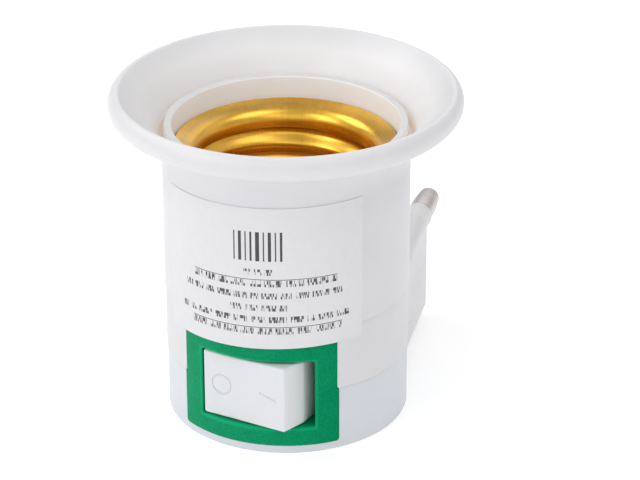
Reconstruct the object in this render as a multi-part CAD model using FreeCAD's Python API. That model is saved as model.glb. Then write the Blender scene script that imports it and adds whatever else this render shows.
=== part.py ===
import FreeCAD, Part
import math
import os
from FreeCAD import Vector as V

os.makedirs("parts", exist_ok=True)

# Switched lamp socket adapter, millimetres.
# +Z is the lamp axis, z = 0 the underside of the base, the switch faces -Y,
# the plug pins point +Y.

# ---------------------------------------------------------------- dimensions
UPPER_R = 17.05          # outer radius of the upper housing's tube
COLLAR_R = 16.95         # outer radius of the middle band
BASE_R = 16.85           # outer radius of the base cup
WALL_IN_R = 15.45        # inner radius of band and cup
SEAM_LOW_Z = 9.3         # joint between cup and band
SEAM_HIGH_Z = 18.6       # joint between band and upper housing
FLOOR_TOP_Z = 20.2       # upper face of the socket floor
BASE_FLOOR = 1.8         # thickness of the base
BASE_EDGE_R = 0.2        # rounding of the foot's outer edge

BEAD_R = 22.32           # flared mouth: centre radius of the rounded lip
BEAD_Z = 45.60
BEAD_SEC_R = 1.88        # section radius of the lip
BEAD_TURN = 58           # where its tighter inner edge begins, degrees
BEAD_EDGE_R = 0.6        # section radius of that edge
FLARE_START_Z = 36.5     # where the flare leaves the tube
RING_OUT_R = 16.66       # inner ring standing inside the flare
RING_IN_R = 15.63
RING_TOP_Z = 42.5
CREVICE_OUT_R = 17.45
CREVICE_Z = 40.1         # bottom of the groove between ring and flare

LIP_OUT_R = 15.35        # locating lips inside the joints
LIP_IN_R = 14.4

BEZEL_R = 16.90          # outer radius of the green plate
BEZEL_HALF_LOW = 40.5    # half angle of the plate below the low seam, degrees
BEZEL_HALF_HIGH = 39.5   # and above it
BEZEL_Z0 = 1.15
BEZEL_Z1 = 16.7
BEZEL_GAP = 0.15         # side gap in degrees
SWITCH_MID_Z = 8.9
OPEN_HALF_X = 7.98       # opening for the rocker
OPEN_HALF_Z = 5.05
BOX_HALF_X = 9.6         # switch box behind the plate
BOX_WALL = 1.2
BOX_BACK_Y = -1.9
BOX_BACK_IN_Y = -3.4

PIVOT_Y = -9.64          # rocker pivot, vertical axis through x = 0
ROCKER_HALF_Z = 4.85
ROCKER_FACE = 6.9        # pivot to face
ROCKER_HALF_X = 6.27     # half length of the face
ROCKER_TILT = 13.4       # tilt each way, degrees
STUB_R = 1.0
STUB_HOLE_R = 1.05

SEESAW_Y = -5.35         # mid plane of the rocking contact
SEESAW_TILT = 7.37

PLUG_END_Y = 29.8        # end face of the plug block
PLUG_HALF_END = 13.17    # half width at the end face
PLUG_HALF_BODY = 13.90   # half width at the body (y = 12)
PLUG_Z0 = 1.5
PLUG_Z1 = 16.4
PLUG_TOP_R = 2.0         # rounding of the long top edges
PLUG_WALL = 1.6
PLUG_END_WALL = 2.6
PIN_HALF_PITCH = 9.1
PIN_Z = 10.4             # height of the pin axes
PIN_R = 1.84             # bare metal next to the sleeve, narrower towards the tip
PIN_TIP_R = 1.6
SLEEVE_R = 2.0
PIN_SHANK_R = 1.45
PIN_FLANGE_R = 2.6       # collar that keeps the pin in the block
PIN_LEN = 19.0
SLEEVE_LEN = 11.7

BOSS_X = 11.6
BOSS_Y = 3.0
BOSS_R = 3.3
SCREW_R = 1.3

SHELL_T = 0.4            # sheet of the screw shell
SHELL_LIFT = 0.02        # play under its flange
SHELL_MEAN_R = 12.95
THREAD_AMP = 0.55
THREAD_PITCH = 3.629     # E27: 7 threads per inch
THREAD_PHASE = 0.6       # radians
SHELL_RIM_R = 15.40
SHELL_RIM_Z = 39.15
RIVET_POS = 7.2          # shell rivets at (p, p) and (-p, -p)
CONTACT_RIVET_Y = 4.2

LABEL_T = 0.12
LABEL_A0 = -50.5         # side edges, degrees from the switch side
LABEL_A1 = 52.3
LABEL_Z0 = 16.15         # lower and upper edges in the middle, both stuck on a little askew
LABEL_Z1 = 37.05
LABEL_RISE_LOW = 0.042
LABEL_RISE_TOP = 0.033

WIRE_R = 0.9


# ------------------------------------------------------------------- helpers
def cyl(r, z0, z1, x=0.0, y=0.0):
    return Part.makeCylinder(r, z1 - z0, V(x, y, z0))


def ycyl(r, y0, y1, x=0.0, z=0.0):
    return Part.makeCylinder(r, y1 - y0, V(x, y0, z), V(0, 1, 0))


def box(x0, x1, y0, y1, z0, z1):
    return Part.makeBox(x1 - x0, y1 - y0, z1 - z0, V(x0, y0, z0))


def ring(r0, r1, z0, z1):
    return cyl(r1, z0, z1).cut(cyl(r0, z0, z1))


def prism(points, z0, z1):
    vs = [V(x, y, z0) for x, y in points]
    return Part.Face(Part.makePolygon(vs + [vs[0]])).extrude(V(0, 0, z1 - z0))


def polar(r, a, z=0.0):
    """Angle a in degrees from -Y towards +X."""
    t = math.radians(a)
    return V(r * math.sin(t), -r * math.cos(t), z)


def sector(r0, r1, a0, a1, z0, z1):
    m = 0.5 * (a0 + a1)
    edges = [
        Part.Arc(polar(r1, a0, z0), polar(r1, m, z0), polar(r1, a1, z0)).toShape(),
        Part.makeLine(polar(r1, a1, z0), polar(r0, a1, z0)),
        Part.Arc(polar(r0, a1, z0), polar(r0, m, z0), polar(r0, a0, z0)).toShape(),
        Part.makeLine(polar(r0, a0, z0), polar(r1, a0, z0)),
    ]
    return Part.Face(Part.Wire(edges)).extrude(V(0, 0, z1 - z0))


def revolve(edges):
    return Part.Face(Part.Wire(edges)).revolve(V(0, 0, 0), V(0, 0, 1), 360)


def rz(r, z):
    return V(r, 0, z)


def line(a, b):
    return Part.makeLine(rz(*a), rz(*b))


def bezier(*pts):
    c = Part.BezierCurve()
    c.setPoles([rz(*p) for p in pts])
    return c.toShape()


def arc3(a, b, c):
    return Part.Arc(rz(*a), rz(*b), rz(*c)).toShape()


def polyline_rev(pts):
    vs = [rz(*p) for p in pts]
    return Part.Face(Part.makePolygon(vs + [vs[0]])).revolve(V(0, 0, 0), V(0, 0, 1), 360)


def turn(shape, angle, x=0.0, y=0.0):
    s = shape.copy()
    s.rotate(V(x, y, 0), V(0, 0, 1), angle)
    return s


def fillet(shape, radius, pick):
    edges = [e for e in shape.Edges if pick(e)]
    return shape.makeFillet(radius, edges)


def tube(points, r, bends):
    """Round lead of radius r along straight runs joined by tangent arcs."""
    pts = [V(*p) for p in points]
    solids = []
    start = pts[0]
    for i in range(1, len(pts)):
        end = pts[i]
        if i < len(pts) - 1:
            d0 = (pts[i] - pts[i - 1])
            d0.normalize()
            d1 = (pts[i + 1] - pts[i])
            d1.normalize()
            ang = math.acos(max(-1.0, min(1.0, d0.dot(d1))))
            cut = bends * math.tan(ang / 2)
            a = pts[i] - d0 * cut
            b = pts[i] + d1 * cut
            solids.append(Part.makeCylinder(r, (a - start).Length, start, d0))
            axis = d0.cross(d1)
            axis.normalize()
            side = axis.cross(d0)
            centre = a + side * bends
            disc = Part.Face(Part.Wire(Part.makeCircle(r, a, d0)))
            solids.append(disc.revolve(centre, axis, math.degrees(ang)))
            start = b
        else:
            d0 = end - start
            length = d0.Length
            d0.normalize()
            solids.append(Part.makeCylinder(r, length, start, d0))
    out = solids[0].fuse(solids[1:])
    return out.removeSplitter()


def one(shape, name):
    """The single solid of a boolean result."""
    shape = shape.removeSplitter()
    if len(shape.Solids) != 1:
        print(name, "has", len(shape.Solids), "solids")
    return shape.Solids[0] if len(shape.Solids) == 1 else shape


parts = {}

# --------------------------------------------------------------- plug block
def block_poly(inset, y0, y1):
    def half(y):
        t = (y - 12.0) / (PLUG_END_Y - 12.0)
        return PLUG_HALF_BODY + (PLUG_HALF_END - PLUG_HALF_BODY) * t - inset
    return [(-half(y0), y0), (half(y0), y0), (half(y1), y1), (-half(y1), y1)]


block = prism(block_poly(0, 6.0, PLUG_END_Y), PLUG_Z0, PLUG_Z1)
# rounded long top edges, then the edges round the end face and the long lower edges
block = fillet(block, PLUG_TOP_R, lambda e: abs(e.CenterOfMass.z - PLUG_Z1) < 1e-6
               and abs(e.CenterOfMass.x) > 5 and e.CenterOfMass.y < PLUG_END_Y - 1)
block = fillet(block, 0.7, lambda e: e.BoundBox.YMin > PLUG_END_Y - 1e-3)
block = fillet(block, 0.5, lambda e: abs(e.CenterOfMass.z - PLUG_Z0) < 1e-3
               and abs(e.CenterOfMass.x) > 5 and e.BoundBox.YLength > 5)
cavity = prism(block_poly(PLUG_WALL, 5.0, PLUG_END_Y - PLUG_END_WALL),
               PLUG_Z0 + PLUG_WALL, PLUG_Z1 - PLUG_WALL)


def pin_axis(side):
    """Root point on the end face and direction of a pin (side = +1 or -1)."""
    return V(side * PIN_HALF_PITCH, PLUG_END_Y, PIN_Z), V(0, 1, 0)


def pin_cyl(side, r, a, b):
    root, d = pin_axis(side)
    return Part.makeCylinder(r, b - a, root + d * a, d)


pin_grooves = []
pin_slots = []           # open downwards in the upper half, so that the pins are laid in from below
ribs_low = []
ribs_high = []
for side in (1, -1):
    for r, a, b in ((SLEEVE_R + 0.12, -3.2, 0.6), (PIN_SHANK_R + 0.1, -8.4, -4.8), (PIN_FLANGE_R + 0.15, -5.4, -2.7)):
        pin_grooves.append(pin_cyl(side, r, a, b))
        pin_slots.append(box(side * PIN_HALF_PITCH - r, side * PIN_HALF_PITCH + r, PLUG_END_Y + a, PLUG_END_Y + b,
                             SEAM_LOW_Z - 1, PIN_Z))
    xs = sorted((side * 6.6, side * 12.0))
    ribs_low.append(box(xs[0], xs[1], 22.2, 24.3, PLUG_Z0 + PLUG_WALL, SEAM_LOW_Z))
    ribs_high.append(box(xs[0], xs[1], 22.2, 24.3, SEAM_LOW_Z, PLUG_Z1 - PLUG_WALL))

# ------------------------------------------------------------ upper housing
bx, bz = BEAD_R - 0.6 * BEAD_SEC_R, BEAD_Z - 0.8 * BEAD_SEC_R
FLARE = [(UPPER_R, FLARE_START_Z), (UPPER_R, 39.5), (19.2, 42.6), (bx, bz)]    # outer curve of the mouth
groove_r = 0.5 * (CREVICE_OUT_R - RING_OUT_R)


def on_arc(c, r, a):
    return (c[0] + r * math.cos(math.radians(a)), c[1] + r * math.sin(math.radians(a)))


edge_c = on_arc((BEAD_R, BEAD_Z), BEAD_SEC_R - BEAD_EDGE_R, BEAD_TURN)
edge_in = on_arc(edge_c, BEAD_EDGE_R, 125)
profile = [
    line((UPPER_R - 0.12, SEAM_HIGH_Z), (UPPER_R, SEAM_HIGH_Z + 0.12)),
    line((UPPER_R, SEAM_HIGH_Z + 0.12), (UPPER_R, FLARE_START_Z)),
    bezier(*FLARE),
    arc3((bx, bz), (BEAD_R + BEAD_SEC_R, BEAD_Z), on_arc((BEAD_R, BEAD_Z), BEAD_SEC_R, BEAD_TURN)),
    arc3(on_arc(edge_c, BEAD_EDGE_R, BEAD_TURN), on_arc(edge_c, BEAD_EDGE_R, 90), edge_in),
    bezier(edge_in, on_arc(edge_in, 2.6, 215), (17.7, 43.3), (CREVICE_OUT_R, CREVICE_Z + groove_r)),
    arc3((CREVICE_OUT_R, CREVICE_Z + groove_r), (CREVICE_OUT_R - groove_r, CREVICE_Z), (RING_OUT_R, CREVICE_Z + groove_r)),
    line((RING_OUT_R, CREVICE_Z + groove_r), (RING_OUT_R, RING_TOP_Z - 0.2)),
    line((RING_OUT_R, RING_TOP_Z - 0.2), (RING_OUT_R - 0.2, RING_TOP_Z)),
    line((RING_OUT_R - 0.2, RING_TOP_Z), (RING_IN_R + 0.2, RING_TOP_Z)),
    line((RING_IN_R + 0.2, RING_TOP_Z), (RING_IN_R, RING_TOP_Z - 0.2)),
    line((RING_IN_R, RING_TOP_Z - 0.2), (RING_IN_R, FLOOR_TOP_Z)),
    line((RING_IN_R, FLOOR_TOP_Z), (0, FLOOR_TOP_Z)),
    line((0, FLOOR_TOP_Z), (0, SEAM_HIGH_Z)),
    line((0, SEAM_HIGH_Z), (UPPER_R - 0.12, SEAM_HIGH_Z)),
]
upper = revolve(profile)
upper = upper.fuse(ring(LIP_IN_R, LIP_OUT_R, 16.9, SEAM_HIGH_Z))
for s in (1, -1):
    upper = upper.fuse(cyl(BOSS_R, 11.0, SEAM_HIGH_Z, s * BOSS_X, BOSS_Y))
    upper = upper.fuse(box(s * 3.8 - 0.6, s * 3.8 + 0.6, -9.0, -5.0,
                           SWITCH_MID_Z + OPEN_HALF_Z + BOX_WALL, SEAM_HIGH_Z))
for s in (1, -1):
    upper = upper.cut(cyl(SCREW_R + 0.02, 10.0, 18.0, s * BOSS_X, BOSS_Y))
    upper = upper.cut(cyl(1.15, 18.0, 21.0, s * RIVET_POS, s * RIVET_POS))
upper = upper.cut(cyl(1.25, 18.0, 21.0, 0, CONTACT_RIVET_Y))
parts["upper_housing"] = one(upper, "upper_housing")

# ------------------------------------------------------------ middle collar
collar = ring(WALL_IN_R, COLLAR_R, SEAM_LOW_Z, SEAM_HIGH_Z)
high = block.common(box(-30, 30, 0, 40, SEAM_LOW_Z, 30))
collar = collar.fuse(high).cut(cyl(WALL_IN_R, SEAM_LOW_Z - 1, SEAM_HIGH_Z + 1)).cut(cavity)
for r in ribs_high:
    collar = collar.fuse(r)
for g in pin_grooves + pin_slots:
    collar = collar.cut(g)
collar = collar.cut(sector(14.0, 18.5, -BEZEL_HALF_HIGH, BEZEL_HALF_HIGH, SEAM_LOW_Z - 1, BEZEL_Z1 + 0.05))
# small rounding at the two lower corners beside the window
collar = one(collar, "middle_collar")
corner = [e for e in collar.Edges
          if abs(e.BoundBox.ZMin - SEAM_LOW_Z) < 1e-6 and abs(e.BoundBox.ZMax - SEAM_LOW_Z) < 1e-6
          and e.CenterOfMass.y < -9 and e.Length < 2.0]
collar = collar.makeFillet(0.35, corner)
parts["middle_collar"] = one(collar, "middle_collar")

# ----------------------------------------------------------------- base cup
cup = cyl(BASE_R, 0, SEAM_LOW_Z)
cup = fillet(cup, BASE_EDGE_R, lambda e: abs(e.BoundBox.ZMax) < 1e-6)
low = block.common(box(-30, 30, 0, 40, -5, SEAM_LOW_Z))
cup = cup.fuse(low).cut(cyl(WALL_IN_R, BASE_FLOOR, SEAM_LOW_Z + 1)).cut(cavity)
lip = ring(LIP_IN_R, LIP_OUT_R, 6.3, 10.8).fuse(ring(LIP_IN_R, WALL_IN_R, 6.3, SEAM_LOW_Z))
lip = lip.cut(box(-10.6, 10.6, -18, -4, 5, 12)).cut(box(-12.4, 12.4, 5, 20, 5, 12))
cup = cup.fuse(lip)
for r in ribs_low:
    cup = cup.fuse(r)
for s in (1, -1):
    cup = cup.fuse(cyl(BOSS_R, 0.5, 11.0, s * BOSS_X, BOSS_Y))
    cup = cup.fuse(box(s * 6.0 - 1.0, s * 6.0 + 1.0, -11.0, -3.0,
                       1.0, SWITCH_MID_Z - OPEN_HALF_Z - BOX_WALL))
for s in (1, -1):
    cup = cup.cut(cyl(1.5, -1, 12, s * BOSS_X, BOSS_Y))
    cup = cup.cut(cyl(2.7, -1, 2.2, s * BOSS_X, BOSS_Y))
for g in pin_grooves:
    cup = cup.cut(g)
window = sector(14.0, 18.5, -BEZEL_HALF_LOW, BEZEL_HALF_LOW, BEZEL_Z0, 12)
window = fillet(window, 0.45, lambda e: abs(e.BoundBox.ZMax - BEZEL_Z0) < 1e-6 and e.Length < 6)
cup = cup.cut(window)
parts["base_cup"] = one(cup, "base_cup")

# ------------------------------------------------------------- switch frame
a_low = BEZEL_HALF_LOW - BEZEL_GAP
a_high = BEZEL_HALF_HIGH - BEZEL_GAP
plate = sector(WALL_IN_R, BEZEL_R, -a_low, a_low, BEZEL_Z0, SEAM_LOW_Z - 0.05)
plate = fillet(plate, 0.42, lambda e: abs(e.BoundBox.ZMax - BEZEL_Z0) < 1e-6 and e.Length < 3)
plate = plate.fuse(sector(WALL_IN_R, BEZEL_R, -a_high, a_high, SEAM_LOW_Z - 0.05, BEZEL_Z1)).removeSplitter()
opening = box(-OPEN_HALF_X, OPEN_HALF_X, -20, -5, SWITCH_MID_Z - OPEN_HALF_Z, SWITCH_MID_Z + OPEN_HALF_Z)
opening = fillet(opening, 0.35, lambda e: e.BoundBox.YLength > 5)
box_half_z = OPEN_HALF_Z + BOX_WALL
swbox = box(-BOX_HALF_X, BOX_HALF_X, -18, BOX_BACK_Y, SWITCH_MID_Z - box_half_z, SWITCH_MID_Z + box_half_z)
swbox = swbox.common(cyl(WALL_IN_R, 0, 20))
sw_in = box(-BOX_HALF_X + BOX_WALL, BOX_HALF_X - BOX_WALL, -18, BOX_BACK_IN_Y,
            SWITCH_MID_Z - OPEN_HALF_Z, SWITCH_MID_Z + OPEN_HALF_Z)
sw_in = sw_in.common(cyl(WALL_IN_R, 0, 20))
frame = plate.fuse(swbox).cut(sw_in).cut(opening)
frame = frame.fuse(box(3.0, 5.0, -4.25, BOX_BACK_IN_Y, SWITCH_MID_Z - 1, SWITCH_MID_Z + 1))
frame = frame.cut(cyl(STUB_HOLE_R, SWITCH_MID_Z - box_half_z - 1, SWITCH_MID_Z + box_half_z + 1, 0, PIVOT_Y))
frame = frame.cut(box(-0.45, 0.45, -4, 0, SWITCH_MID_Z - 2.05, SWITCH_MID_Z + 2.05))
frame = frame.cut(box(-4.35, -3.45, -4, 0, SWITCH_MID_Z - 2.05, SWITCH_MID_Z + 2.05))
frame = one(frame, "switch_frame")
rim = [e for e in frame.Edges
       if e.CenterOfMass.y < -14 and abs(math.hypot(e.Vertexes[0].X, e.Vertexes[0].Y) - BEZEL_R) < 0.02
       and abs(e.CenterOfMass.x) < OPEN_HALF_X + 0.05
       and SWITCH_MID_Z - OPEN_HALF_Z - 0.02 < e.CenterOfMass.z < SWITCH_MID_Z + OPEN_HALF_Z + 0.02
       and e.BoundBox.YMin < -14]
try:
    soft = frame.makeFillet(0.45, rim)
    if soft.isValid() and len(soft.Solids) == 1:
        frame = soft
except Exception as err:
    print("opening edge left square", err)
parts["switch_frame"] = one(frame, "switch_frame")

# ------------------------------------------------------------ switch rocker
# drawn level about the pivot, then tilted to the pressed-in O position
F, H = ROCKER_FACE, ROCKER_HALF_X
rz0, rz1 = SWITCH_MID_Z - ROCKER_HALF_Z, SWITCH_MID_Z + ROCKER_HALF_Z
outline = [(-H, -F), (H, -F), (7.35, -3.2), (7.35, 0.3), (-7.35, 0.3), (-7.35, -3.2)]
body = prism([(x, y + PIVOT_Y) for x, y in outline], rz0, rz1)
body = fillet(body, 0.3, lambda e: abs(e.CenterOfMass.y - (PIVOT_Y - F)) < 1e-3
              or (e.BoundBox.YLength > 3 and e.CenterOfMass.y < PIVOT_Y - 4 and abs(e.CenterOfMass.x) > 6))
hollow = [(-H + 0.75, -F + 1.2), (H - 0.75, -F + 1.2), (6.3, -3.2), (6.3, 1), (-6.3, 1), (-6.3, -3.2)]
body = body.cut(prism([(x, y + PIVOT_Y) for x, y in hollow], rz0 + 1.0, rz1 - 1.0))
for z0, z1 in ((rz0, rz0 + 1.0), (rz1 - 1.0, rz1)):
    body = body.fuse(prism([(x, y + PIVOT_Y) for x, y in
                            ((-4.2, -2.4), (4.2, -2.4), (1.7, 1.6), (-1.7, 1.6))], z0, z1))
body = body.fuse(cyl(STUB_R, rz0 - 1.0, rz0 + 0.5, 0, PIVOT_Y))
body = body.fuse(cyl(STUB_R, rz1 - 0.5, rz1 + 1.0, 0, PIVOT_Y))
body = body.fuse(ycyl(2.2, PIVOT_Y - F + 1.0, PIVOT_Y + 0.4, 0, SWITCH_MID_Z))
body = body.cut(ycyl(1.5, PIVOT_Y - F + 1.2, PIVOT_Y + 1, 0, SWITCH_MID_Z))
# engraved marks on the face
face_y = PIVOT_Y - F
mark_o = ycyl(1.58, face_y - 1, face_y + 0.14, -3.46, 9.1).cut(
    ycyl(1.32, face_y - 1, face_y + 0.14, -3.46, 9.1))
mark_i = box(-1.25, 1.25, face_y - 1, face_y + 0.14, -0.12, 0.12)
mark_i.rotate(V(0, 0, 0), V(0, 1, 0), 15.8)      # the stroke leans on the face
mark_i.translate(V(3.72, 0, 8.94))
body = body.cut(mark_o).cut(mark_i)
parts["switch_rocker"] = turn(one(body, "switch_rocker"), -ROCKER_TILT, 0, PIVOT_Y)

# plunger and its spring, in the rocker's stem
plunger = polyline_rev([(0, -0.9), (1.4, -0.9), (1.4, 1.4), (0.9, 2.2), (0.9, 3.0),
                        (0.78, 3.35), (0.45, 3.62), (0, 3.7)])
plunger.rotate(V(0, 0, 0), V(1, 0, 0), -90)
plunger.translate(V(0, PIVOT_Y, SWITCH_MID_Z))
parts["rocker_plunger"] = turn(plunger, -ROCKER_TILT, 0, PIVOT_Y)

SPRING_R, SPRING_WIRE_R, SPRING_PITCH, SPRING_TURNS = 1.1, 0.2, 0.87, 5
steps, around = SPRING_TURNS * 20, 10
lines = []
for j in range(around):
    b = 2 * math.pi * j / around
    pts = []
    for i in range(steps + 1):
        a = 2 * math.pi * SPRING_TURNS * i / steps
        n = V(math.cos(a), math.sin(a), 0)
        t = V(-SPRING_R * math.sin(a), SPRING_R * math.cos(a), SPRING_PITCH / (2 * math.pi))
        t.normalize()
        m = t.cross(n)
        c = V(SPRING_R * math.cos(a), SPRING_R * math.sin(a), SPRING_PITCH * a / (2 * math.pi))
        pts.append(c + n * (SPRING_WIRE_R * math.cos(b)) + m * (SPRING_WIRE_R * math.sin(b)))
    curve = Part.BSplineCurve()
    curve.interpolate(Points=pts, Parameters=[float(i) for i in range(steps + 1)])
    lines.append((curve.toShape(), pts[0], pts[-1]))
faces = [Part.makeRuledSurface(lines[j][0], lines[(j + 1) % around][0]) for j in range(around)]
for q in (1, 2):
    ends = [l[q] for l in lines]
    faces.append(Part.Face(Part.makePolygon(ends + [ends[0]])))
sewn = Part.makeCompound(faces)
sewn.sewShape(1e-4)
spring = Part.makeSolid(sewn.Shells[0])
if spring.Volume < 0:
    spring.reverse()
spring.rotate(V(0, 0, 0), V(1, 0, 0), -90)
spring.translate(V(0, PIVOT_Y - F + 1.2 + 0.22, SWITCH_MID_Z))
parts["plunger_spring"] = turn(spring, -ROCKER_TILT, 0, PIVOT_Y)

# rocking contact and the two blades
seesaw = box(-4.8, 4.8, SEESAW_Y - 0.25, SEESAW_Y + 0.25, SWITCH_MID_Z - 2, SWITCH_MID_Z + 2)
seesaw = fillet(seesaw, 0.8, lambda e: abs(e.BoundBox.YLength - 0.5) < 1e-6 and e.BoundBox.ZLength < 1e-6)
seesaw = seesaw.fuse(ycyl(1.1, SEESAW_Y + 0.2, SEESAW_Y + 0.75, -3.7, SWITCH_MID_Z))
parts["contact_seesaw"] = turn(one(seesaw, "contact_seesaw"), SEESAW_TILT, 0, SEESAW_Y)

blade_z0, blade_z1 = SWITCH_MID_Z - 2.0, SWITCH_MID_Z + 2.0
common = box(-0.4, 0.4, -4.45, 2.5, blade_z0, blade_z1).fuse(cyl(0.4, blade_z0, blade_z1, 0, -4.45))
parts["terminal_common"] = one(common, "terminal_common")
load = box(-4.3, -3.5, BOX_BACK_IN_Y - 0.2, 2.5, blade_z0, blade_z1)
load = load.fuse(ycyl(1.2, BOX_BACK_IN_Y - 0.38, BOX_BACK_IN_Y, -3.9, SWITCH_MID_Z))
parts["terminal_load"] = one(load, "terminal_load")

# -------------------------------------------------------------- screw shell
def smooth(t):
    t = max(0.0, min(1.0, t))
    return t * t * (3 - 2 * t)


def thread_fade(z, z_b):
    """Share of the thread below the rolled neck at height z_b."""
    return smooth((z_b - 0.25 - z) / 1.0)


def shell_profile():
    """Mid line of the sheet as (r, z, outward normal r, outward normal z)."""
    half = SHELL_T / 2
    z_low = FLOOR_TOP_Z + SHELL_LIFT + half
    pts = []
    rc = 0.9
    for i in range(5):
        pts.append((9.0 + (SHELL_MEAN_R - rc - 9.0) * i / 5.0, z_low, 0.0, -1.0))
    for i in range(8):
        a = math.radians(-90 + 90 * i / 7.0)
        pts.append((SHELL_MEAN_R - rc + rc * math.cos(a), z_low + rc + rc * math.sin(a), math.cos(a), math.sin(a)))
    z_a = z_low + rc
    # mouth: rolled outwards in an arc, with a short cone at the rim
    slope = math.radians(20)                    # cone's rise above the horizontal
    rc2 = 1.8
    neck = SHELL_MEAN_R - THREAD_AMP            # rolled neck, as narrow as the ridges
    ang = math.pi / 2 - slope
    cone_run = SHELL_RIM_R - neck - rc2 * (1 - math.cos(ang))
    z_arc_end = SHELL_RIM_Z - cone_run * math.tan(slope)
    z_b = z_arc_end - rc2 * math.sin(ang)
    n = 60
    for i in range(1, n):
        z = z_a + (z_b - z_a) * i / n
        pts.append((neck + THREAD_AMP * thread_fade(z, z_b), z, 1.0, 0.0))
    for i in range(12):
        t = ang * i / 11.0
        pts.append((neck + rc2 * (1 - math.cos(t)), z_b + rc2 * math.sin(t), math.cos(t), -math.sin(t)))
    r0, z0 = pts[-1][0], pts[-1][1]
    for i in range(1, 4):
        t = i / 3.0
        pts.append((r0 + (SHELL_RIM_R - r0) * t, z0 + (SHELL_RIM_Z - z0) * t, math.cos(ang), -math.sin(ang)))
    return pts, z_a, z_b


mid_line, wall_a, wall_b = shell_profile()


def shell_point(p, theta, off):
    r, z, nr, nz = p
    amp = THREAD_AMP * smooth((z - wall_a - 0.2) / 2.0) * thread_fade(z, wall_b)
    wave = amp * math.cos(2 * math.pi * z / THREAD_PITCH - theta + THREAD_PHASE)
    rr = r + nr * off - wave
    zz = z + nz * off
    return V(rr * math.cos(theta), rr * math.sin(theta), zz)


def shell_surface(off):
    n = 60
    grid = [[shell_point(p, 2 * math.pi * j / n, off) for j in range(n + 1)] for p in mid_line]
    s = Part.BSplineSurface()
    s.interpolate(grid)
    return s


# both skins are interpolated over the full turn and split in two halves,
# so that all the edges between them are shared
faces = []
halves = {}
for key, off in (("inner", -SHELL_T / 2), ("outer", SHELL_T / 2)):
    whole = shell_surface(off)
    u0, u1, v0, v1 = whole.bounds()
    vm = 0.5 * (v0 + v1)
    halves[key] = []
    for a, b in ((v0, vm), (vm, v1)):
        h = whole.copy()
        h.segment(u0, u1, a, b)
        halves[key].append(h)
        faces.append(h.toShape())
for inner, outer in zip(halves["inner"], halves["outer"]):
    ib, ob = inner.bounds(), outer.bounds()
    for q in (0, 1):
        faces.append(Part.makeRuledSurface(inner.uIso(ib[q]).toShape(), outer.uIso(ob[q]).toShape()))
sewn = Part.makeCompound(faces)
sewn.sewShape(1e-4)
shell = Part.makeSolid(sewn.Shells[0])
if shell.Volume < 0:
    shell.reverse()
for s in (1, -1):
    shell = shell.cut(cyl(1.15, 19, 22, s * RIVET_POS, s * RIVET_POS))
parts["screw_shell"] = one(shell, "screw_shell")

# ------------------------------------------------ socket contacts and rivets
t = 0.5
z = FLOOR_TOP_Z
leaf = [(6.4, z), (1.9, z), (-0.9, z + 2.6), (-3.2, z + 2.6), (-4.2, z + 1.6),
        (-4.2 - 0.35, z + 1.95), (-3.4, z + 2.6 + t), (-0.7, z + 2.6 + t), (2.1, z + t), (6.4, z + t)]
vs = [V(-2.8, y, zz) for y, zz in leaf]
contact = Part.Face(Part.makePolygon(vs + [vs[0]])).extrude(V(5.6, 0, 0))
contact = contact.cut(cyl(1.25, z - 1, z + 1, 0, CONTACT_RIVET_Y))
parts["centre_contact"] = one(contact, "centre_contact")


def rivet(x, y, head_z, head_r, r):
    out = polyline_rev([(0, 17.2), (r, 17.2), (r, 18.0), (r + 0.6, 18.0), (r + 0.6, 18.6), (r, 18.6),
                        (r, head_z), (head_r, head_z), (head_r, head_z + 0.25), (head_r * 0.75, head_z + 0.6),
                        (0, head_z + 0.7)])
    out.translate(V(x, y, 0))
    return out


parts["centre_rivet"] = rivet(0, CONTACT_RIVET_Y, FLOOR_TOP_Z + 0.5, 1.9, 1.2)
parts["shell_rivets"] = Part.makeCompound([rivet(s * RIVET_POS, s * RIVET_POS, FLOOR_TOP_Z + SHELL_T + 3 * SHELL_LIFT, 1.7, 1.1)
                                           for s in (1, -1)])

# --------------------------------------------------------- pins and sleeves
for side, name in ((1, "right"), (-1, "left")):
    root, d = pin_axis(side)
    pin = polyline_rev([(0, -9.2), (PIN_SHANK_R, -9.2), (PIN_SHANK_R, -5.2), (PIN_FLANGE_R, -5.2), (PIN_FLANGE_R, -2.85),
                        (PIN_SHANK_R, -2.85), (PIN_SHANK_R, SLEEVE_LEN), (PIN_R, SLEEVE_LEN), (PIN_R, 15.2),
                        (PIN_TIP_R, PIN_LEN - 0.9), (PIN_TIP_R - 0.14, PIN_LEN - 0.5), (PIN_TIP_R - 0.42, PIN_LEN - 0.22),
                        (PIN_TIP_R - 0.85, PIN_LEN - 0.06), (0, PIN_LEN)])
    sleeve = Part.makeCylinder(SLEEVE_R, SLEEVE_LEN + 2.8, V(0, 0, -2.8)).cut(
        Part.makeCylinder(PIN_SHANK_R + 0.03, SLEEVE_LEN + 4, V(0, 0, -3.5)))
    for nm, s in (("plug_pin_" + name, pin), ("pin_sleeve_" + name, sleeve)):
        s.rotate(V(0, 0, 0), V(1, 0, 0), -90)
        s.translate(root)
        parts[nm] = s

# -------------------------------------------------------------------- leads
def tail(side, back):
    root, d = pin_axis(side)
    p = root - d * (9.2 + back)
    return (p.x, p.y, p.z)


parts["wire_live"] = tube([tail(-1, 0), tail(-1, 7.0), (0, 9.0, SWITCH_MID_Z), (0, 2.5, SWITCH_MID_Z)], WIRE_R, 2.6)
parts["wire_switched"] = tube([(-3.9, 2.5, SWITCH_MID_Z), (-3.9, 6.6, SWITCH_MID_Z), (-3.9, 6.6, 13.2),
                               (0, CONTACT_RIVET_Y, 13.6), (0, CONTACT_RIVET_Y, 17.2)], WIRE_R, 1.7)
parts["wire_neutral"] = tube([tail(1, 0), tail(1, 6.0), (RIVET_POS, RIVET_POS, 12.6), (RIVET_POS, RIVET_POS, 17.2)],
                             WIRE_R, 2.2)

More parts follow.
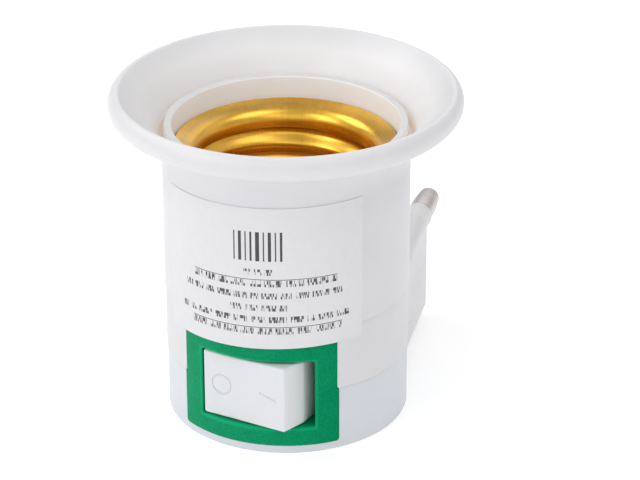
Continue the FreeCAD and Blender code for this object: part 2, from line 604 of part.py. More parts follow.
# ------------------------------------------------------------------- screws
def screw(x, y):
    s = polyline_rev([(0, 0.5), (1.9, 0.5), (2.35, 0.8), (2.5, 1.3), (2.5, 2.2), (SCREW_R, 2.2),
                      (SCREW_R, 16.3), (0.35, 17.6), (0, 17.6)])
    s = s.cut(box(-1.5, 1.5, -0.28, 0.28, 0, 1.3)).cut(box(-0.28, 0.28, -1.5, 1.5, 0, 1.3))
    s.translate(V(x, y, 0))
    return s


parts["housing_screws"] = Part.makeCompound([screw(s * BOSS_X, BOSS_Y) for s in (1, -1)])

# -------------------------------------------------------------------- label
# follows the wall up to where the mouth begins to flare
gap = 0.03
label = revolve([
    line((UPPER_R + gap, LABEL_Z0 - 1), (UPPER_R + gap + LABEL_T, LABEL_Z0 - 1)),
    line((UPPER_R + gap + LABEL_T, LABEL_Z0 - 1), (UPPER_R + gap + LABEL_T, FLARE_START_Z)),
    bezier(*[(r + gap + LABEL_T, z) for r, z in FLARE]),
    line((FLARE[3][0] + gap + LABEL_T, FLARE[3][1]), (FLARE[3][0] + gap, FLARE[3][1])),
    bezier(*[(r + gap, z) for r, z in FLARE[::-1]]),
    line((UPPER_R + gap, FLARE_START_Z), (UPPER_R + gap, LABEL_Z0 - 1)),
])
x0, x1 = polar(UPPER_R, LABEL_A0).x, polar(UPPER_R, LABEL_A1).x
corners = [V(x0, -20, LABEL_Z0 + x0 * LABEL_RISE_LOW), V(x1, -20, LABEL_Z0 + x1 * LABEL_RISE_LOW),
           V(x1, -20, LABEL_Z1 + x1 * LABEL_RISE_TOP), V(x0, -20, LABEL_Z1 + x0 * LABEL_RISE_TOP)]
band = Part.Face(Part.makePolygon(corners + corners[:1])).extrude(V(0, 20, 0))
band = fillet(band, 0.4, lambda e: e.BoundBox.YLength > 19)
label = one(label.common(band), "label")
parts["paper_label"] = label

# ------------------------------------------------------------------- output
for name, shape in parts.items():
    ok = shape.isValid()
    if not ok:
        print("not valid:", name)
    shape.exportStep("parts/" + name + ".step")
    print("%-18s solids %d volume %.1f valid %s" % (name, len(shape.Solids), shape.Volume, ok))
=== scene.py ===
import bpy
import bmesh
import math
import random
from mathutils import Vector, Matrix


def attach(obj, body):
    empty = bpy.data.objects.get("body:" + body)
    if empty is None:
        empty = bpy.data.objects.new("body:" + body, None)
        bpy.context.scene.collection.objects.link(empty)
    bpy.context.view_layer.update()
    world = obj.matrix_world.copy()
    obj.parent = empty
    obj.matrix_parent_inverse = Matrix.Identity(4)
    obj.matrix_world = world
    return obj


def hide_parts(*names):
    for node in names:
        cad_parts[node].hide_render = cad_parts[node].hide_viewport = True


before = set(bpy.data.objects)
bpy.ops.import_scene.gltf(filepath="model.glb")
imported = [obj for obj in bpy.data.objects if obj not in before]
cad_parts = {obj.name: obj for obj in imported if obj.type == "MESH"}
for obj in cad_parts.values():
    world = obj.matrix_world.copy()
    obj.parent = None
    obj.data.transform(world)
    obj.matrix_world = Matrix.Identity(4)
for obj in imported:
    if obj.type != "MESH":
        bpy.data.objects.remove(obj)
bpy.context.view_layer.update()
scene = bpy.context.scene
MM = 0.001

# ------------------------------------------------------------------ dimensions
# millimetres, as in the CAD: +Z lamp axis, switch towards -Y, pins towards +Y
UPPER_R, COLLAR_R, BASE_R, WALL_IN_R = 17.05, 16.95, 16.85, 15.45
SEAM_LOW, SEAM_HIGH, FLOOR_TOP = 9.3, 18.6, 20.2
BEAD_R, BEAD_Z, BEAD_S = 22.32, 45.60, 1.88
FLARE_Z, RING_OUT, RING_IN, RING_TOP, CREVICE = 36.5, 16.66, 15.63, 42.5, 40.1
BEZEL_R, BEZEL_Z0, BEZEL_Z1 = 16.90, 1.15, 16.7
PIVOT_Y, SWITCH_Z, ROCKER_TILT = -9.64, 8.9, 13.4
OPEN_Z, ROCKER_Z = 5.05, 4.85          # half heights of opening and rocker
BOX_Z = OPEN_Z + 1.2
PLUG_END, PLUG_LOW, PLUG_TOP = 29.8, 1.5, 16.4
PIN_X, PIN_Z = 9.1, 10.4
FOOT_R = 0.2


# --------------------------------------------------------------------- helpers
def smooth01(t):
    t = max(0.0, min(1.0, t))
    return t * t * (3 - 2 * t)


def arc(cx, cy, r, a0, a1, n):
    """n + 1 points from angle a0 to a1, degrees."""
    out = []
    for i in range(n + 1):
        a = math.radians(a0 + (a1 - a0) * i / n)
        out.append((cx + r * math.cos(a), cy + r * math.sin(a)))
    return out


def bez(p0, p1, p2, p3, n):
    out = []
    for i in range(n + 1):
        t = i / n
        a, b, c, d = (1 - t) ** 3, 3 * t * (1 - t) ** 2, 3 * t * t * (1 - t), t ** 3
        out.append((a * p0[0] + b * p1[0] + c * p2[0] + d * p3[0],
                    a * p0[1] + b * p1[1] + c * p2[1] + d * p3[1]))
    return out


def joined(*runs):
    """Runs of points as one line, without repeated points."""
    out = []
    for run in runs:
        for p in run:
            if not out or math.dist(out[-1], p) > 1e-6:
                out.append(p)
    return out


def lin(a, b, n):
    return [a + (b - a) * i / n for i in range(n + 1)]


def merged(values, gap):
    """Sorted values with near repeats left out."""
    out = []
    for v in sorted(values):
        if not out or v - out[-1] > gap:
            out.append(v)
    return out


class Piece:
    """Closed shells gathered into one mesh, millimetres."""

    def __init__(self):
        self.v, self.f, self.m = [], [], []

    def add(self, shell, mat=0, place=None):
        verts, faces = shell[0], shell[1]
        mats = shell[2] if len(shell) > 2 else [mat] * len(faces)
        if place is not None:
            verts = [tuple(place @ Vector(p)) for p in verts]
        o = len(self.v)
        self.v += [tuple(p) for p in verts]
        self.f += [tuple(i + o for i in f) for f in faces]
        self.m += mats
        return self

    def build(self, name, mats, body, nodes=(), slot=None, angle=30.0):
        me = bpy.data.meshes.new(name)
        me.from_pydata([Vector(p) * MM for p in self.v], [], self.f)
        for m in mats:
            me.materials.append(m)
        for p, i in zip(me.polygons, self.m):
            p.material_index = i
        bm = bmesh.new()
        bm.from_mesh(me)
        bmesh.ops.remove_doubles(bm, verts=bm.verts, dist=2e-8)
        bmesh.ops.dissolve_degenerate(bm, edges=bm.edges, dist=2e-8)
        bmesh.ops.recalc_face_normals(bm, faces=bm.faces)
        limit = math.radians(angle)
        for e in bm.edges:
            e.smooth = e.calc_face_angle(0.0) < limit
        for f in bm.faces:
            f.smooth = True
        bm.to_mesh(me)
        bm.free()
        ob = bpy.data.objects.new(name, me)
        scene.collection.objects.link(ob)
        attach(ob, body)
        if nodes:
            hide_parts(*nodes)
        return ob


def revolve(profile, n=240, closed=False):
    """Profile of (r, z) points turned about the axis. An open profile starts and ends on it."""
    m = len(profile)
    verts, faces = [], []
    for i in range(n):
        t = 2 * math.pi * i / n
        c, s = math.cos(t), math.sin(t)
        verts += [(r * c, r * s, z) for r, z in profile]
    for i in range(n):
        j = (i + 1) % n
        for k in range(m if closed else m - 1):
            l = (k + 1) % m
            a, b, c, d = i * m + k, j * m + k, j * m + l, i * m + l
            on_k, on_l = profile[k][0] < 1e-7, profile[l][0] < 1e-7
            if on_k and on_l:
                continue
            if on_k:
                faces.append((a, c, d))
            elif on_l:
                faces.append((a, b, d))
            else:
                faces.append((a, b, c, d))
    return verts, faces


def loft(rows, caps=True):
    """Closed loops of equal length joined in turn."""
    n = len(rows[0])
    verts = [p for r in rows for p in r]
    faces = []
    for i in range(len(rows) - 1):
        for k in range(n):
            l = (k + 1) % n
            faces.append((i * n + k, i * n + l, (i + 1) * n + l, (i + 1) * n + k))
    if caps:
        faces.append(tuple(range(n)))
        faces.append(tuple((len(rows) - 1) * n + k for k in range(n)))
    return verts, faces


def ring_loft(rows):
    """Closed loops joined in turn, the last to the first."""
    n, m = len(rows[0]), len(rows)
    verts = [p for r in rows for p in r]
    faces = []
    for i in range(m):
        j = (i + 1) % m
        for k in range(n):
            l = (k + 1) % n
            faces.append((i * n + k, i * n + l, j * n + l, j * n + k))
    return verts, faces


def prism(points, z0, z1):
    return loft([[(x, y, z0) for x, y in points], [(x, y, z1) for x, y in points]])


def sheet_shell(cols, rows, outer, inner, keep, wrap):
    """A wall of two skins on a grid. keep(i, j) says whether a cell is there;
    the cut edges get faces between the skins."""
    verts = []
    for i in range(cols):
        for j in range(rows):
            verts.append(outer(i, j))
    half = len(verts)
    for i in range(cols):
        for j in range(rows):
            verts.append(inner(i, j))

    def at(i, j):
        return (i % cols) * rows + j

    nc = cols if wrap else cols - 1

    def there(i, j):
        if wrap:
            i %= nc
        if i < 0 or i >= nc or j < 0 or j >= rows - 1:
            return False
        return keep(i, j)

    faces = []
    for i in range(nc):
        for j in range(rows - 1):
            if not there(i, j):
                continue
            a, b, c, d = at(i, j), at(i + 1, j), at(i + 1, j + 1), at(i, j + 1)
            faces.append((a, b, c, d))
            faces.append((a + half, d + half, c + half, b + half))
            for di, dj, p, q in ((-1, 0, d, a), (1, 0, b, c), (0, -1, a, b), (0, 1, c, d)):
                if not there(i + di, j + dj):
                    faces.append((p, p + half, q + half, q))
    return verts, faces


def polar(r, phi, z):
    """phi in degrees from the switch side (-Y) towards +X."""
    a = math.radians(phi)
    return (r * math.sin(a), -r * math.cos(a), z)


# ------------------------------------------------------------------- materials
def srgb(r, g, b):
    def lin1(c):
        c /= 255.0
        return c / 12.92 if c <= 0.04045 else ((c + 0.055) / 1.055) ** 2.4
    return (lin1(r), lin1(g), lin1(b), 1.0)


class Mat:
    """A principled material with its node tree."""

    def __init__(self, name):
        self.m = bpy.data.materials.new(name)
        self.m.use_nodes = True
        self.t = self.m.node_tree
        self.t.nodes.clear()
        self.out = self.t.nodes.new("ShaderNodeOutputMaterial")
        self.b = self.t.nodes.new("ShaderNodeBsdfPrincipled")
        self.t.links.new(self.b.outputs["BSDF"], self.out.inputs["Surface"])
        self.coord = self.t.nodes.new("ShaderNodeTexCoord").outputs["Object"]

    def set(self, **kw):
        for k, v in kw.items():
            self.b.inputs[k.replace("_", " ")].default_value = v
        return self

    def link(self, a, socket):
        self.t.links.new(a, self.b.inputs[socket])
        return self

    def stretch(self, sx, sy, sz, vec=None):
        n = self.t.nodes.new("ShaderNodeMapping")
        n.inputs["Scale"].default_value = (sx, sy, sz)
        self.t.links.new(vec if vec is not None else self.coord, n.inputs["Vector"])
        return n.outputs["Vector"]

    def noise(self, scale, detail=3.0, rough=0.55, vec=None, distortion=0.0):
        n = self.t.nodes.new("ShaderNodeTexNoise")
        n.inputs["Scale"].default_value = scale
        n.inputs["Detail"].default_value = detail
        n.inputs["Roughness"].default_value = rough
        n.inputs["Distortion"].default_value = distortion
        self.t.links.new(vec if vec is not None else self.coord, n.inputs["Vector"])
        return n.outputs["Fac"]

    def voronoi(self, scale, vec=None, feature="F1"):
        n = self.t.nodes.new("ShaderNodeTexVoronoi")
        n.feature = feature
        n.inputs["Scale"].default_value = scale
        self.t.links.new(vec if vec is not None else self.coord, n.inputs["Vector"])
        return n.outputs["Distance"]

    def ramp(self, fac, *stops):
        n = self.t.nodes.new("ShaderNodeValToRGB")
        el = n.color_ramp.elements
        while len(el) < len(stops):
            el.new(0.5)
        for e, (pos, col) in zip(el, stops):
            e.position = pos
            e.color = col if isinstance(col, (tuple, list)) else (col, col, col, 1.0)
        self.t.links.new(fac, n.inputs["Fac"])
        return n.outputs["Color"]

    def math(self, op, a, b=None, clamp=False):
        n = self.t.nodes.new("ShaderNodeMath")
        n.operation = op
        n.use_clamp = clamp
        for s, x in zip(n.inputs, (a, b)):
            if x is None:
                continue
            if isinstance(x, (int, float)):
                s.default_value = x
            else:
                self.t.links.new(x, s)
        return n.outputs["Value"]

    def mix(self, fac, a, b, blend="MIX"):
        n = self.t.nodes.new("ShaderNodeMix")
        n.data_type = "RGBA"
        n.blend_type = blend
        for sock, x in (("Factor", fac), ("A", a), ("B", b)):
            s = [i for i in n.inputs if i.name == sock and i.enabled and (i.type == "VALUE" if sock == "Factor" else i.type == "RGBA")][0]
            if isinstance(x, (int, float)):
                s.default_value = x
            elif isinstance(x, (tuple, list)):
                s.default_value = x
            else:
                self.t.links.new(x, s)
        return [o for o in n.outputs if o.type == "RGBA"][0]

    def bump(self, height, strength, distance, below=None):
        n = self.t.nodes.new("ShaderNodeBump")
        n.inputs["Strength"].default_value = strength
        n.inputs["Distance"].default_value = distance
        self.t.links.new(height, n.inputs["Height"])
        if below is not None:
            self.t.links.new(below, n.inputs["Normal"])
        return n.outputs["Normal"]

    def separate(self, vec=None):
        n = self.t.nodes.new("ShaderNodeSeparateXYZ")
        self.t.links.new(vec if vec is not None else self.coord, n.inputs["Vector"])
        return n.outputs["X"], n.outputs["Y"], n.outputs["Z"]

    def combine(self, x, y, z):
        n = self.t.nodes.new("ShaderNodeCombineXYZ")
        for s, v in zip(n.inputs, (x, y, z)):
            if isinstance(v, (int, float)):
                s.default_value = v
            else:
                self.t.links.new(v, s)
        return n.outputs["Vector"]


def moulded(name, dark, light, rough=(0.34, 0.46), specks=True, grain=0.05, lit_deep=None, soft=(0.35, 0.0008), lit_lip=None):
    """White moulded plastic: faint flow mottle, fine grain and a few specks.
    The two optional colour pairs fade the white to lighter painted-light tones at the lip top and inside the mouth:
    the same plastic, painted lighter where those faces catch more light."""
    k = Mat(name)
    cloud = k.noise(130, 4, 0.6)
    col = k.ramp(cloud, (0.30, dark), (0.70, light))
    # painted light: the lip top fades to a lighter copy of the white
    if lit_lip:
        x, y, z = k.separate()
        up = k.math("MULTIPLY", k.math("SUBTRACT", z, 0.0425), 500.0, clamp=True)
        col = k.mix(up, col, k.ramp(cloud, (0.30, lit_lip[0]), (0.70, lit_lip[1])))
    # painted light: the inside of the mouth fades to a lighter copy of the white
    if lit_deep:
        x, y, z = k.separate()
        rad = k.math("POWER", k.math("ADD", k.math("MULTIPLY", x, x), k.math("MULTIPLY", y, y)), 0.5)
        inside = k.math("MULTIPLY", k.math("SUBTRACT", 0.0222, rad), 450.0, clamp=True)
        col = k.mix(inside, col, k.ramp(cloud, (0.30, lit_deep[0]), (0.70, lit_deep[1])))
    if specks:
        spot = k.voronoi(140)
        near = k.ramp(spot, (0.012, 0.80), (0.024, 1.0))
        col = k.mix(1.0, col, near, "MULTIPLY")
    k.link(col, "Base Color")
    k.link(k.ramp(k.noise(420, 3, 0.6), (0.3, rough[0]), (0.7, rough[1])), "Roughness")
    fine = k.noise(9000, 2, 0.5)
    wave = k.noise(160, 2, 0.4)
    n1 = k.bump(wave, 0.10, 0.00004)
    k.link(k.bump(fine, grain, 0.00002, n1), "Normal")
    k.set(IOR=1.49, Subsurface_Weight=soft[0], Subsurface_Radius=(1.0, 0.96, 0.92), Subsurface_Scale=soft[1])
    return k.m


# Lighter copies of the housing white, painted light: the lip top and the inside of the mouth are painted lighter
# where more light falls on them.
LIP_PAINTED_LIT = ((0.688, 0.686, 0.704, 1), (0.716, 0.714, 0.732, 1))
WHITE_UPPER = moulded("white_upper", (0.657, 0.656, 0.678, 1), (0.685, 0.683, 0.706, 1), lit_lip=LIP_PAINTED_LIT)
WHITE_MOUTH = moulded("white_mouth", (0.657, 0.656, 0.678, 1), (0.685, 0.683, 0.706, 1),
                      lit_lip=LIP_PAINTED_LIT, lit_deep=((0.766, 0.760, 0.766, 1), (0.794, 0.788, 0.794, 1)))
# Painted light: a brighter, cooler copy of the white on the ring's inner wall, lit up to stand in for light reaching
# it and to offset the warm bounce off the gold.
WHITE_RING_PAINTED_LIT = moulded("white_ring_painted_lit", (0.930, 0.945, 0.970, 1), (0.950, 0.965, 0.990, 1), soft=(0.15, 0.0015))
# Painted bounce light: a lighter, warm-tinted copy of the white in the crevice between ring and flare, standing in
# for warm light bounced into it.
WHITE_GROOVE_PAINTED_BOUNCE = moulded("white_groove_painted_bounce", (0.920, 0.850, 0.780, 1), (0.950, 0.880, 0.810, 1))
# Painted shade: a darker copy of the white on the ring's top edge, dimming an edge that catches too much light.
WHITE_RIM_PAINTED_SHADE = moulded("white_rim_painted_shade", (0.600, 0.600, 0.605, 1), (0.630, 0.630, 0.635, 1))
WHITE_COLLAR = moulded("white_collar", (0.647, 0.647, 0.666, 1), (0.674, 0.674, 0.693, 1))
WHITE_BASE = moulded("white_base", (0.620, 0.642, 0.682, 1), (0.648, 0.670, 0.710, 1))
WHITE_ROCKER = moulded("white_rocker", (0.685, 0.693, 0.712, 1), (0.709, 0.717, 0.737, 1), rough=(0.42, 0.52), grain=0.10)
SLEEVE = moulded("sleeve_plastic", (0.690, 0.690, 0.690, 1), (0.730, 0.730, 0.730, 1), rough=(0.45, 0.55), grain=0.10)


def green_plastic():
    k = Mat("green_plastic")
    speck = k.noise(5200, 3, 0.7)
    base = k.ramp(speck, (0.30, (0.000, 0.196, 0.080, 1)), (0.52, (0.001, 0.248, 0.106, 1)), (0.72, (0.012, 0.330, 0.152, 1)))
    cloud = k.ramp(k.noise(170, 3, 0.6), (0.3, 0.90), (0.7, 1.06))
    # painted highlight: the rounded edge of the opening is painted lighter green where it catches the light
    x, y, z = k.separate()
    side = k.math("SUBTRACT", k.math("ABSOLUTE", x), 0.00798)
    rise = k.math("SUBTRACT", k.math("ABSOLUTE", k.math("SUBTRACT", z, SWITCH_Z * 0.001)), OPEN_Z * 0.001)
    near = k.math("ADD", k.math("MULTIPLY", k.math("MAXIMUM", side, rise), 1000.0), 0.5)
    edge = k.ramp(near, (0.46, 0.0), (0.56, 0.55), (0.76, 0.55), (1.0, 0.0))
    edge_highlight = k.mix(edge, k.mix(1.0, base, cloud, "MULTIPLY"), (0.006, 0.400, 0.172, 1))
    # painted light: the colour is paler towards the lit O end (-X) and darker towards the shaded +X end; the specular
    # level also falls towards +X
    across = k.math("ADD", k.math("MULTIPLY", x, 50.0), 0.5)
    k.link(k.mix(1.0, edge_highlight, k.ramp(across, (0.0, 1.13), (1.0, 0.96)), "MULTIPLY"), "Base Color")
    k.link(k.ramp(across, (0.0, 0.095), (1.0, 0.02)), "Specular IOR Level")
    k.link(k.ramp(k.noise(2600, 3, 0.6), (0.3, 0.46), (0.7, 0.62)), "Roughness")
    k.link(k.bump(k.noise(4200, 3, 0.65), 0.22, 0.00003), "Normal")
    return k.m


def gold_shell():
    """Bright gold sheet: brushed round the axis, fine scratches up and down it."""
    k = Mat("gold_shell")
    k.set(Metallic=1.0, Coat_Weight=0.7, Coat_Roughness=0.22, Coat_IOR=1.5)
    x, y, z = k.separate()
    turn = k.math("ARCTAN2", x, y)
    rad = k.math("POWER", k.math("ADD", k.math("MULTIPLY", x, x), k.math("MULTIPLY", y, y)), 0.5)
    across = k.combine(k.math("MULTIPLY", turn, 0.9), k.math("MULTIPLY", z, 900.0), k.math("MULTIPLY", rad, 900.0))
    along = k.combine(k.math("MULTIPLY", turn, 95.0), k.math("MULTIPLY", z, 45.0), k.math("MULTIPLY", rad, 60.0))
    brush = k.noise(1.0, 4, 0.65, across)
    scratch = k.noise(1.0, 3, 0.6, along)
    tone = k.ramp(brush, (0.25, (0.79, 0.425, 0.024, 1)), (0.75, (0.87, 0.520, 0.056, 1)))
    dull = k.ramp(scratch, (0.34, (0.92, 0.89, 0.83, 1)), (0.62, (1.0, 1.0, 1.0, 1)))
    stain = k.ramp(k.noise(260, 4, 0.6), (0.34, (0.90, 0.86, 0.78, 1)), (0.62, (1.0, 1.0, 1.0, 1)))
    col = k.mix(1.0, tone, dull, "MULTIPLY")
    # painted shade: a darker, patchy band just inside the rim, away from the +X end, stands in for the dim reflection
    # there
    band = k.math("SUBTRACT", 1.0, k.math("MULTIPLY", k.math("ABSOLUTE", k.math("SUBTRACT", rad, 0.01420)), 1200.0), clamp=True)
    side = k.math("MULTIPLY", k.math("SUBTRACT", 0.0060, x), 110.0, clamp=True)
    dim_patches = k.ramp(k.noise(900, 4, 0.7), (0.36, 0.45), (0.60, 1.0))
    dim_band = k.math("MULTIPLY", k.math("MULTIPLY", band, side), dim_patches)
    col = k.mix(dim_band, col, (0.57, 0.355, 0.085, 1))
    k.link(k.mix(1.0, col, stain, "MULTIPLY"), "Base Color")
    k.link(k.ramp(k.mix(0.5, brush, scratch), (0.3, 0.25), (0.7, 0.37)), "Roughness")
    n1 = k.bump(brush, 0.10, 0.00006)
    k.link(k.bump(scratch, 0.05, 0.00006, n1), "Normal")
    return k.m


def metal(name, dark, light, rough=(0.22, 0.38), scale=700, grain=0.08):
    k = Mat(name)
    k.set(Metallic=1.0)
    k.link(k.ramp(k.noise(scale, 4, 0.65), (0.3, dark), (0.7, light)), "Base Color")
    k.link(k.ramp(k.noise(scale * 0.5, 3, 0.6), (0.3, rough[0]), (0.7, rough[1])), "Roughness")
    k.link(k.bump(k.noise(scale * 6, 2, 0.5), grain, 0.00002), "Normal")
    return k.m


def paper():
    k = Mat("label_paper")
    fibre = k.noise(900, 5, 0.7, distortion=0.6)
    col = k.ramp(fibre, (0.30, (0.684, 0.680, 0.696, 1)), (0.70, (0.710, 0.706, 0.722, 1)))
    k.link(col, "Base Color")
    k.link(k.ramp(k.noise(300, 3, 0.6), (0.3, 0.42), (0.7, 0.55)), "Roughness")
    n1 = k.bump(k.noise(150, 2, 0.5), 0.10, 0.00005)
    k.link(k.bump(fibre, 0.06, 0.00003, n1), "Normal")
    return k.m


def ink():
    k = Mat("label_print")
    speck = k.noise(7000, 3, 0.7)
    k.link(k.ramp(speck, (0.3, (0.042, 0.038, 0.041, 1)), (0.7, (0.064, 0.060, 0.064, 1))), "Base Color")
    k.link(k.ramp(k.noise(900, 3, 0.6), (0.3, 0.45), (0.7, 0.60)), "Roughness")
    return k.m


def rows():
    """Rows of print: fine uneven strokes with bare paper between them."""
    k = Mat("label_rows")
    x, y, z = k.separate()
    turn = k.math("MULTIPLY", k.math("ARCTAN2", x, k.math("MULTIPLY", y, -1.0)), 17.12)
    rise = k.math("MULTIPLY", k.math("SUBTRACT", z, k.math("MULTIPLY", x, 0.039)), 1000.0)
    line = k.math("ROUND", k.math("MULTIPLY", rise, 0.56))
    upright = k.noise(1.0, 1, 0.5, k.combine(k.math("MULTIPLY", turn, 4.2), k.math("MULTIPLY", line, 7.3), 3.0))
    k.link(k.ramp(upright, (0.47, (0.693, 0.689, 0.704, 1)), (0.54, (0.075, 0.070, 0.078, 1))), "Base Color")
    k.link(k.ramp(k.noise(900, 3, 0.6), (0.3, 0.45), (0.7, 0.60)), "Roughness")
    return k.m


def insulation(name, dark, light):
    k = Mat(name)
    k.link(k.ramp(k.noise(600, 4, 0.6), (0.3, dark), (0.7, light)), "Base Color")
    k.link(k.ramp(k.noise(900, 3, 0.6), (0.3, 0.40), (0.7, 0.55)), "Roughness")
    k.link(k.bump(k.noise(3000, 2, 0.5), 0.1, 0.00003), "Normal")
    return k.m


GREEN = green_plastic()
GOLD = gold_shell()
NICKEL = metal("nickel", (0.60, 0.555, 0.535, 1), (0.73, 0.68, 0.66, 1), (0.42, 0.54))
BRASS = metal("contact_brass", (0.62, 0.44, 0.17, 1), (0.76, 0.57, 0.27, 1), (0.25, 0.40))
STEEL = metal("spring_steel", (0.42, 0.42, 0.43, 1), (0.56, 0.56, 0.58, 1))
ZINC = metal("screw_steel", (0.46, 0.46, 0.48, 1), (0.60, 0.60, 0.62, 1))
PAPER = paper()
INK = ink()
ROWS = rows()
WIRE_BROWN = insulation("wire_brown", (0.10, 0.045, 0.022, 1), (0.14, 0.065, 0.032, 1))
WIRE_BLUE = insulation("wire_blue", (0.02, 0.07, 0.24, 1), (0.03, 0.10, 0.31, 1))

for node, m in (("centre_contact", BRASS), ("centre_rivet", NICKEL), ("shell_rivets", NICKEL),
                ("rocker_plunger", BRASS), ("plunger_spring", STEEL), ("contact_seesaw", BRASS),
                ("terminal_common", BRASS), ("terminal_load", BRASS), ("housing_screws", ZINC),
                ("wire_live", WIRE_BROWN), ("wire_switched", WIRE_BROWN), ("wire_neutral", WIRE_BLUE)):
    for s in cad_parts[node].material_slots:
        s.material = m

# --------------------------------------------------------------- upper housing
bx, bz = BEAD_R - 0.6 * BEAD_S, BEAD_Z - 0.8 * BEAD_S
a_low = math.degrees(math.atan2(bz - BEAD_Z, bx - BEAD_R)) + 360.0
edge_r, edge_z = BEAD_R + 1.28 * math.cos(math.radians(58)), BEAD_Z + 1.28 * math.sin(math.radians(58))
in_r, in_z = edge_r + 0.6 * math.cos(math.radians(125)), edge_z + 0.6 * math.sin(math.radians(125))
profile = joined(
    [(0, SEAM_HIGH), (7, SEAM_HIGH), (14.4, SEAM_HIGH), (14.4, 16.9), (15.35, 16.9), (15.35, SEAM_HIGH)],
    [(16.93, SEAM_HIGH), (17.0, 18.63), (UPPER_R, 18.72)],
    [(UPPER_R, z) for z in lin(18.72, FLARE_Z, 16)],
    bez((UPPER_R, FLARE_Z), (UPPER_R, 39.5), (19.2, 42.6), (bx, bz), 26),
    arc(BEAD_R, BEAD_Z, BEAD_S, a_low, 418.0, 30),
    arc(edge_r, edge_z, 0.6, 58, 125, 16),
    bez((in_r, in_z), (in_r + 2.6 * math.cos(math.radians(215)), in_z + 2.6 * math.sin(math.radians(215))),
        (17.7, 43.3), (17.45, CREVICE + 0.395), 28),
    arc(17.055, CREVICE + 0.395, 0.395, 0, -180, 10),
    [(RING_OUT, RING_TOP - 0.2)], arc(RING_OUT - 0.2, RING_TOP - 0.2, 0.2, 0, 90, 4),
    arc(RING_IN + 0.2, RING_TOP - 0.2, 0.2, 90, 180, 4),
    [(RING_IN, z) for z in lin(RING_TOP - 0.2, FLOOR_TOP, 8)],
    [(8, FLOOR_TOP), (0, FLOOR_TOP)],
)
turned = revolve(profile, 360)
# Faces of the mouth take the painted-light copies of the white: lighter ring wall, warm painted bounce in the
# crevice, darker painted shade on the ring's top edge, lighter mouth and lip.
turned_m = []
for f in turned[1]:
    r = sum(math.hypot(turned[0][q][0], turned[0][q][1]) for q in f) / len(f)
    z = sum(turned[0][q][2] for q in f) / len(f)
    ring = r < 15.70 and z > 36.0
    mouth = 16.55 < r < 22.66 and z > 40.0 and r < 17.75 + 0.45 * (z - 40.5) + 0.14 * max(0.0, z - 42.0) ** 2
    groove = mouth and r < 17.62 and z < 41.7
    rim = 15.70 < r < 16.65 and z > 42.2
    turned_m.append(2 if ring else 3 if groove else 4 if rim else 1 if mouth else 0)
upper = Piece().add((turned[0], turned[1], turned_m))
for s in (1, -1):
    post = [(1.32, 11.0), (3.1, 11.0), (3.3, 11.2), (3.3, 18.7), (1.32, 18.7)]
    upper.add(revolve(post, 48, closed=True), place=Matrix.Translation((s * 11.6, 3.0, 0)))
    upper.add(prism([(s * 3.8 - 0.6, -9), (s * 3.8 + 0.6, -9), (s * 3.8 + 0.6, -5), (s * 3.8 - 0.6, -5)], SWITCH_Z + BOX_Z, 18.7))
upper.build("upper_body", [WHITE_UPPER, WHITE_MOUTH, WHITE_RING_PAINTED_LIT, WHITE_GROOVE_PAINTED_BOUNCE, WHITE_RIM_PAINTED_SHADE], "housing", ["upper_housing"], "white_plastic", 35)


# ------------------------------------------------------------------ plug block
def block_half(y):
    return 13.90 + (13.17 - 13.90) * (y - 12.0) / (PLUG_END - 12.0)


def upper_section(y, d):
    """Top half of the block at y, drawn in by d."""
    w, top, r = block_half(y) - d, PLUG_TOP - d, max(2.0 - d, 0.3)
    pts = [(-w + 0.03, SEAM_LOW + 0.005), (w - 0.03, SEAM_LOW + 0.005), (w, SEAM_LOW + 0.035)]
    pts += arc(w - r, top - r, r, 0, 90, 14)
    pts += arc(-w + r, top - r, r, 90, 180, 14)
    pts += [(-w, SEAM_LOW + 0.035)]
    return [(x, y, z) for x, z in pts]


def lower_section(y, d):
    w, low, r = block_half(y) - d, PLUG_LOW + d, max(0.5 - d * 0.5, 0.2)
    pts = [(w, SEAM_LOW - 0.035), (w - 0.03, SEAM_LOW - 0.005), (-w + 0.03, SEAM_LOW - 0.005), (-w, SEAM_LOW - 0.035)]
    pts += arc(-w + r, low + r, r, 180, 270, 8)
    pts += arc(w - r, low + r, r, 270, 360, 8)
    return [(x, y, z) for x, z in pts]


def block_rows(section):
    rows = [section(y, 0.0) for y in (7.6, 12.0, 18.0, 24.0, PLUG_END - 0.7)]
    for i in range(1, 9):
        a = math.radians(90.0 * i / 8)
        rows.append(section(PLUG_END - 0.7 + 0.7 * math.sin(a), 0.7 * (1 - math.cos(a))))
    return rows


# --------------------------------------------------------------- middle collar
def window_angles(edge, radius, r_body, inside):
    """Angles close to a window edge, packed along a corner of that radius."""
    out = []
    for i in range(9):
        a = math.radians(90.0 * i / 8)
        off = (radius - radius * math.sin(a)) / r_body
        out.append(edge - math.degrees(off) if inside else edge + math.degrees(off))
    return out


def corner_lift(phi, edge, radius, r_body, inside):
    """Height of a rounded corner above its straight edge at phi."""
    d = math.radians((edge - abs(phi)) if inside else (abs(phi) - edge)) * r_body
    if d < -1e-6 or d >= radius:
        return 0.0
    d = max(d, 0.0)
    return radius - math.sqrt(max(0.0, radius ** 2 - (radius - d) ** 2))


COLLAR_EDGE, COLLAR_CORNER = 39.5, 0.35
angles = [i * 1.25 - 180.0 for i in range(288)]
near = window_angles(COLLAR_EDGE, COLLAR_CORNER, COLLAR_R, False)
angles = [a for a in angles if all(abs(abs(a) - n) > 0.3 for n in near)] + near + [-n for n in near]
col_c = merged(angles, 1e-4)
z_c = joined([(0, z) for z in (9.30, 9.34, 9.42)], [(0, z) for z in lin(9.6, 10.0, 2)],
             [(0, z) for z in lin(10.0, 16.75, 9)], [(0, 17.6), (0, 18.48), (0, 18.56), (0, SEAM_HIGH)])
row_c = [z for _, z in z_c]


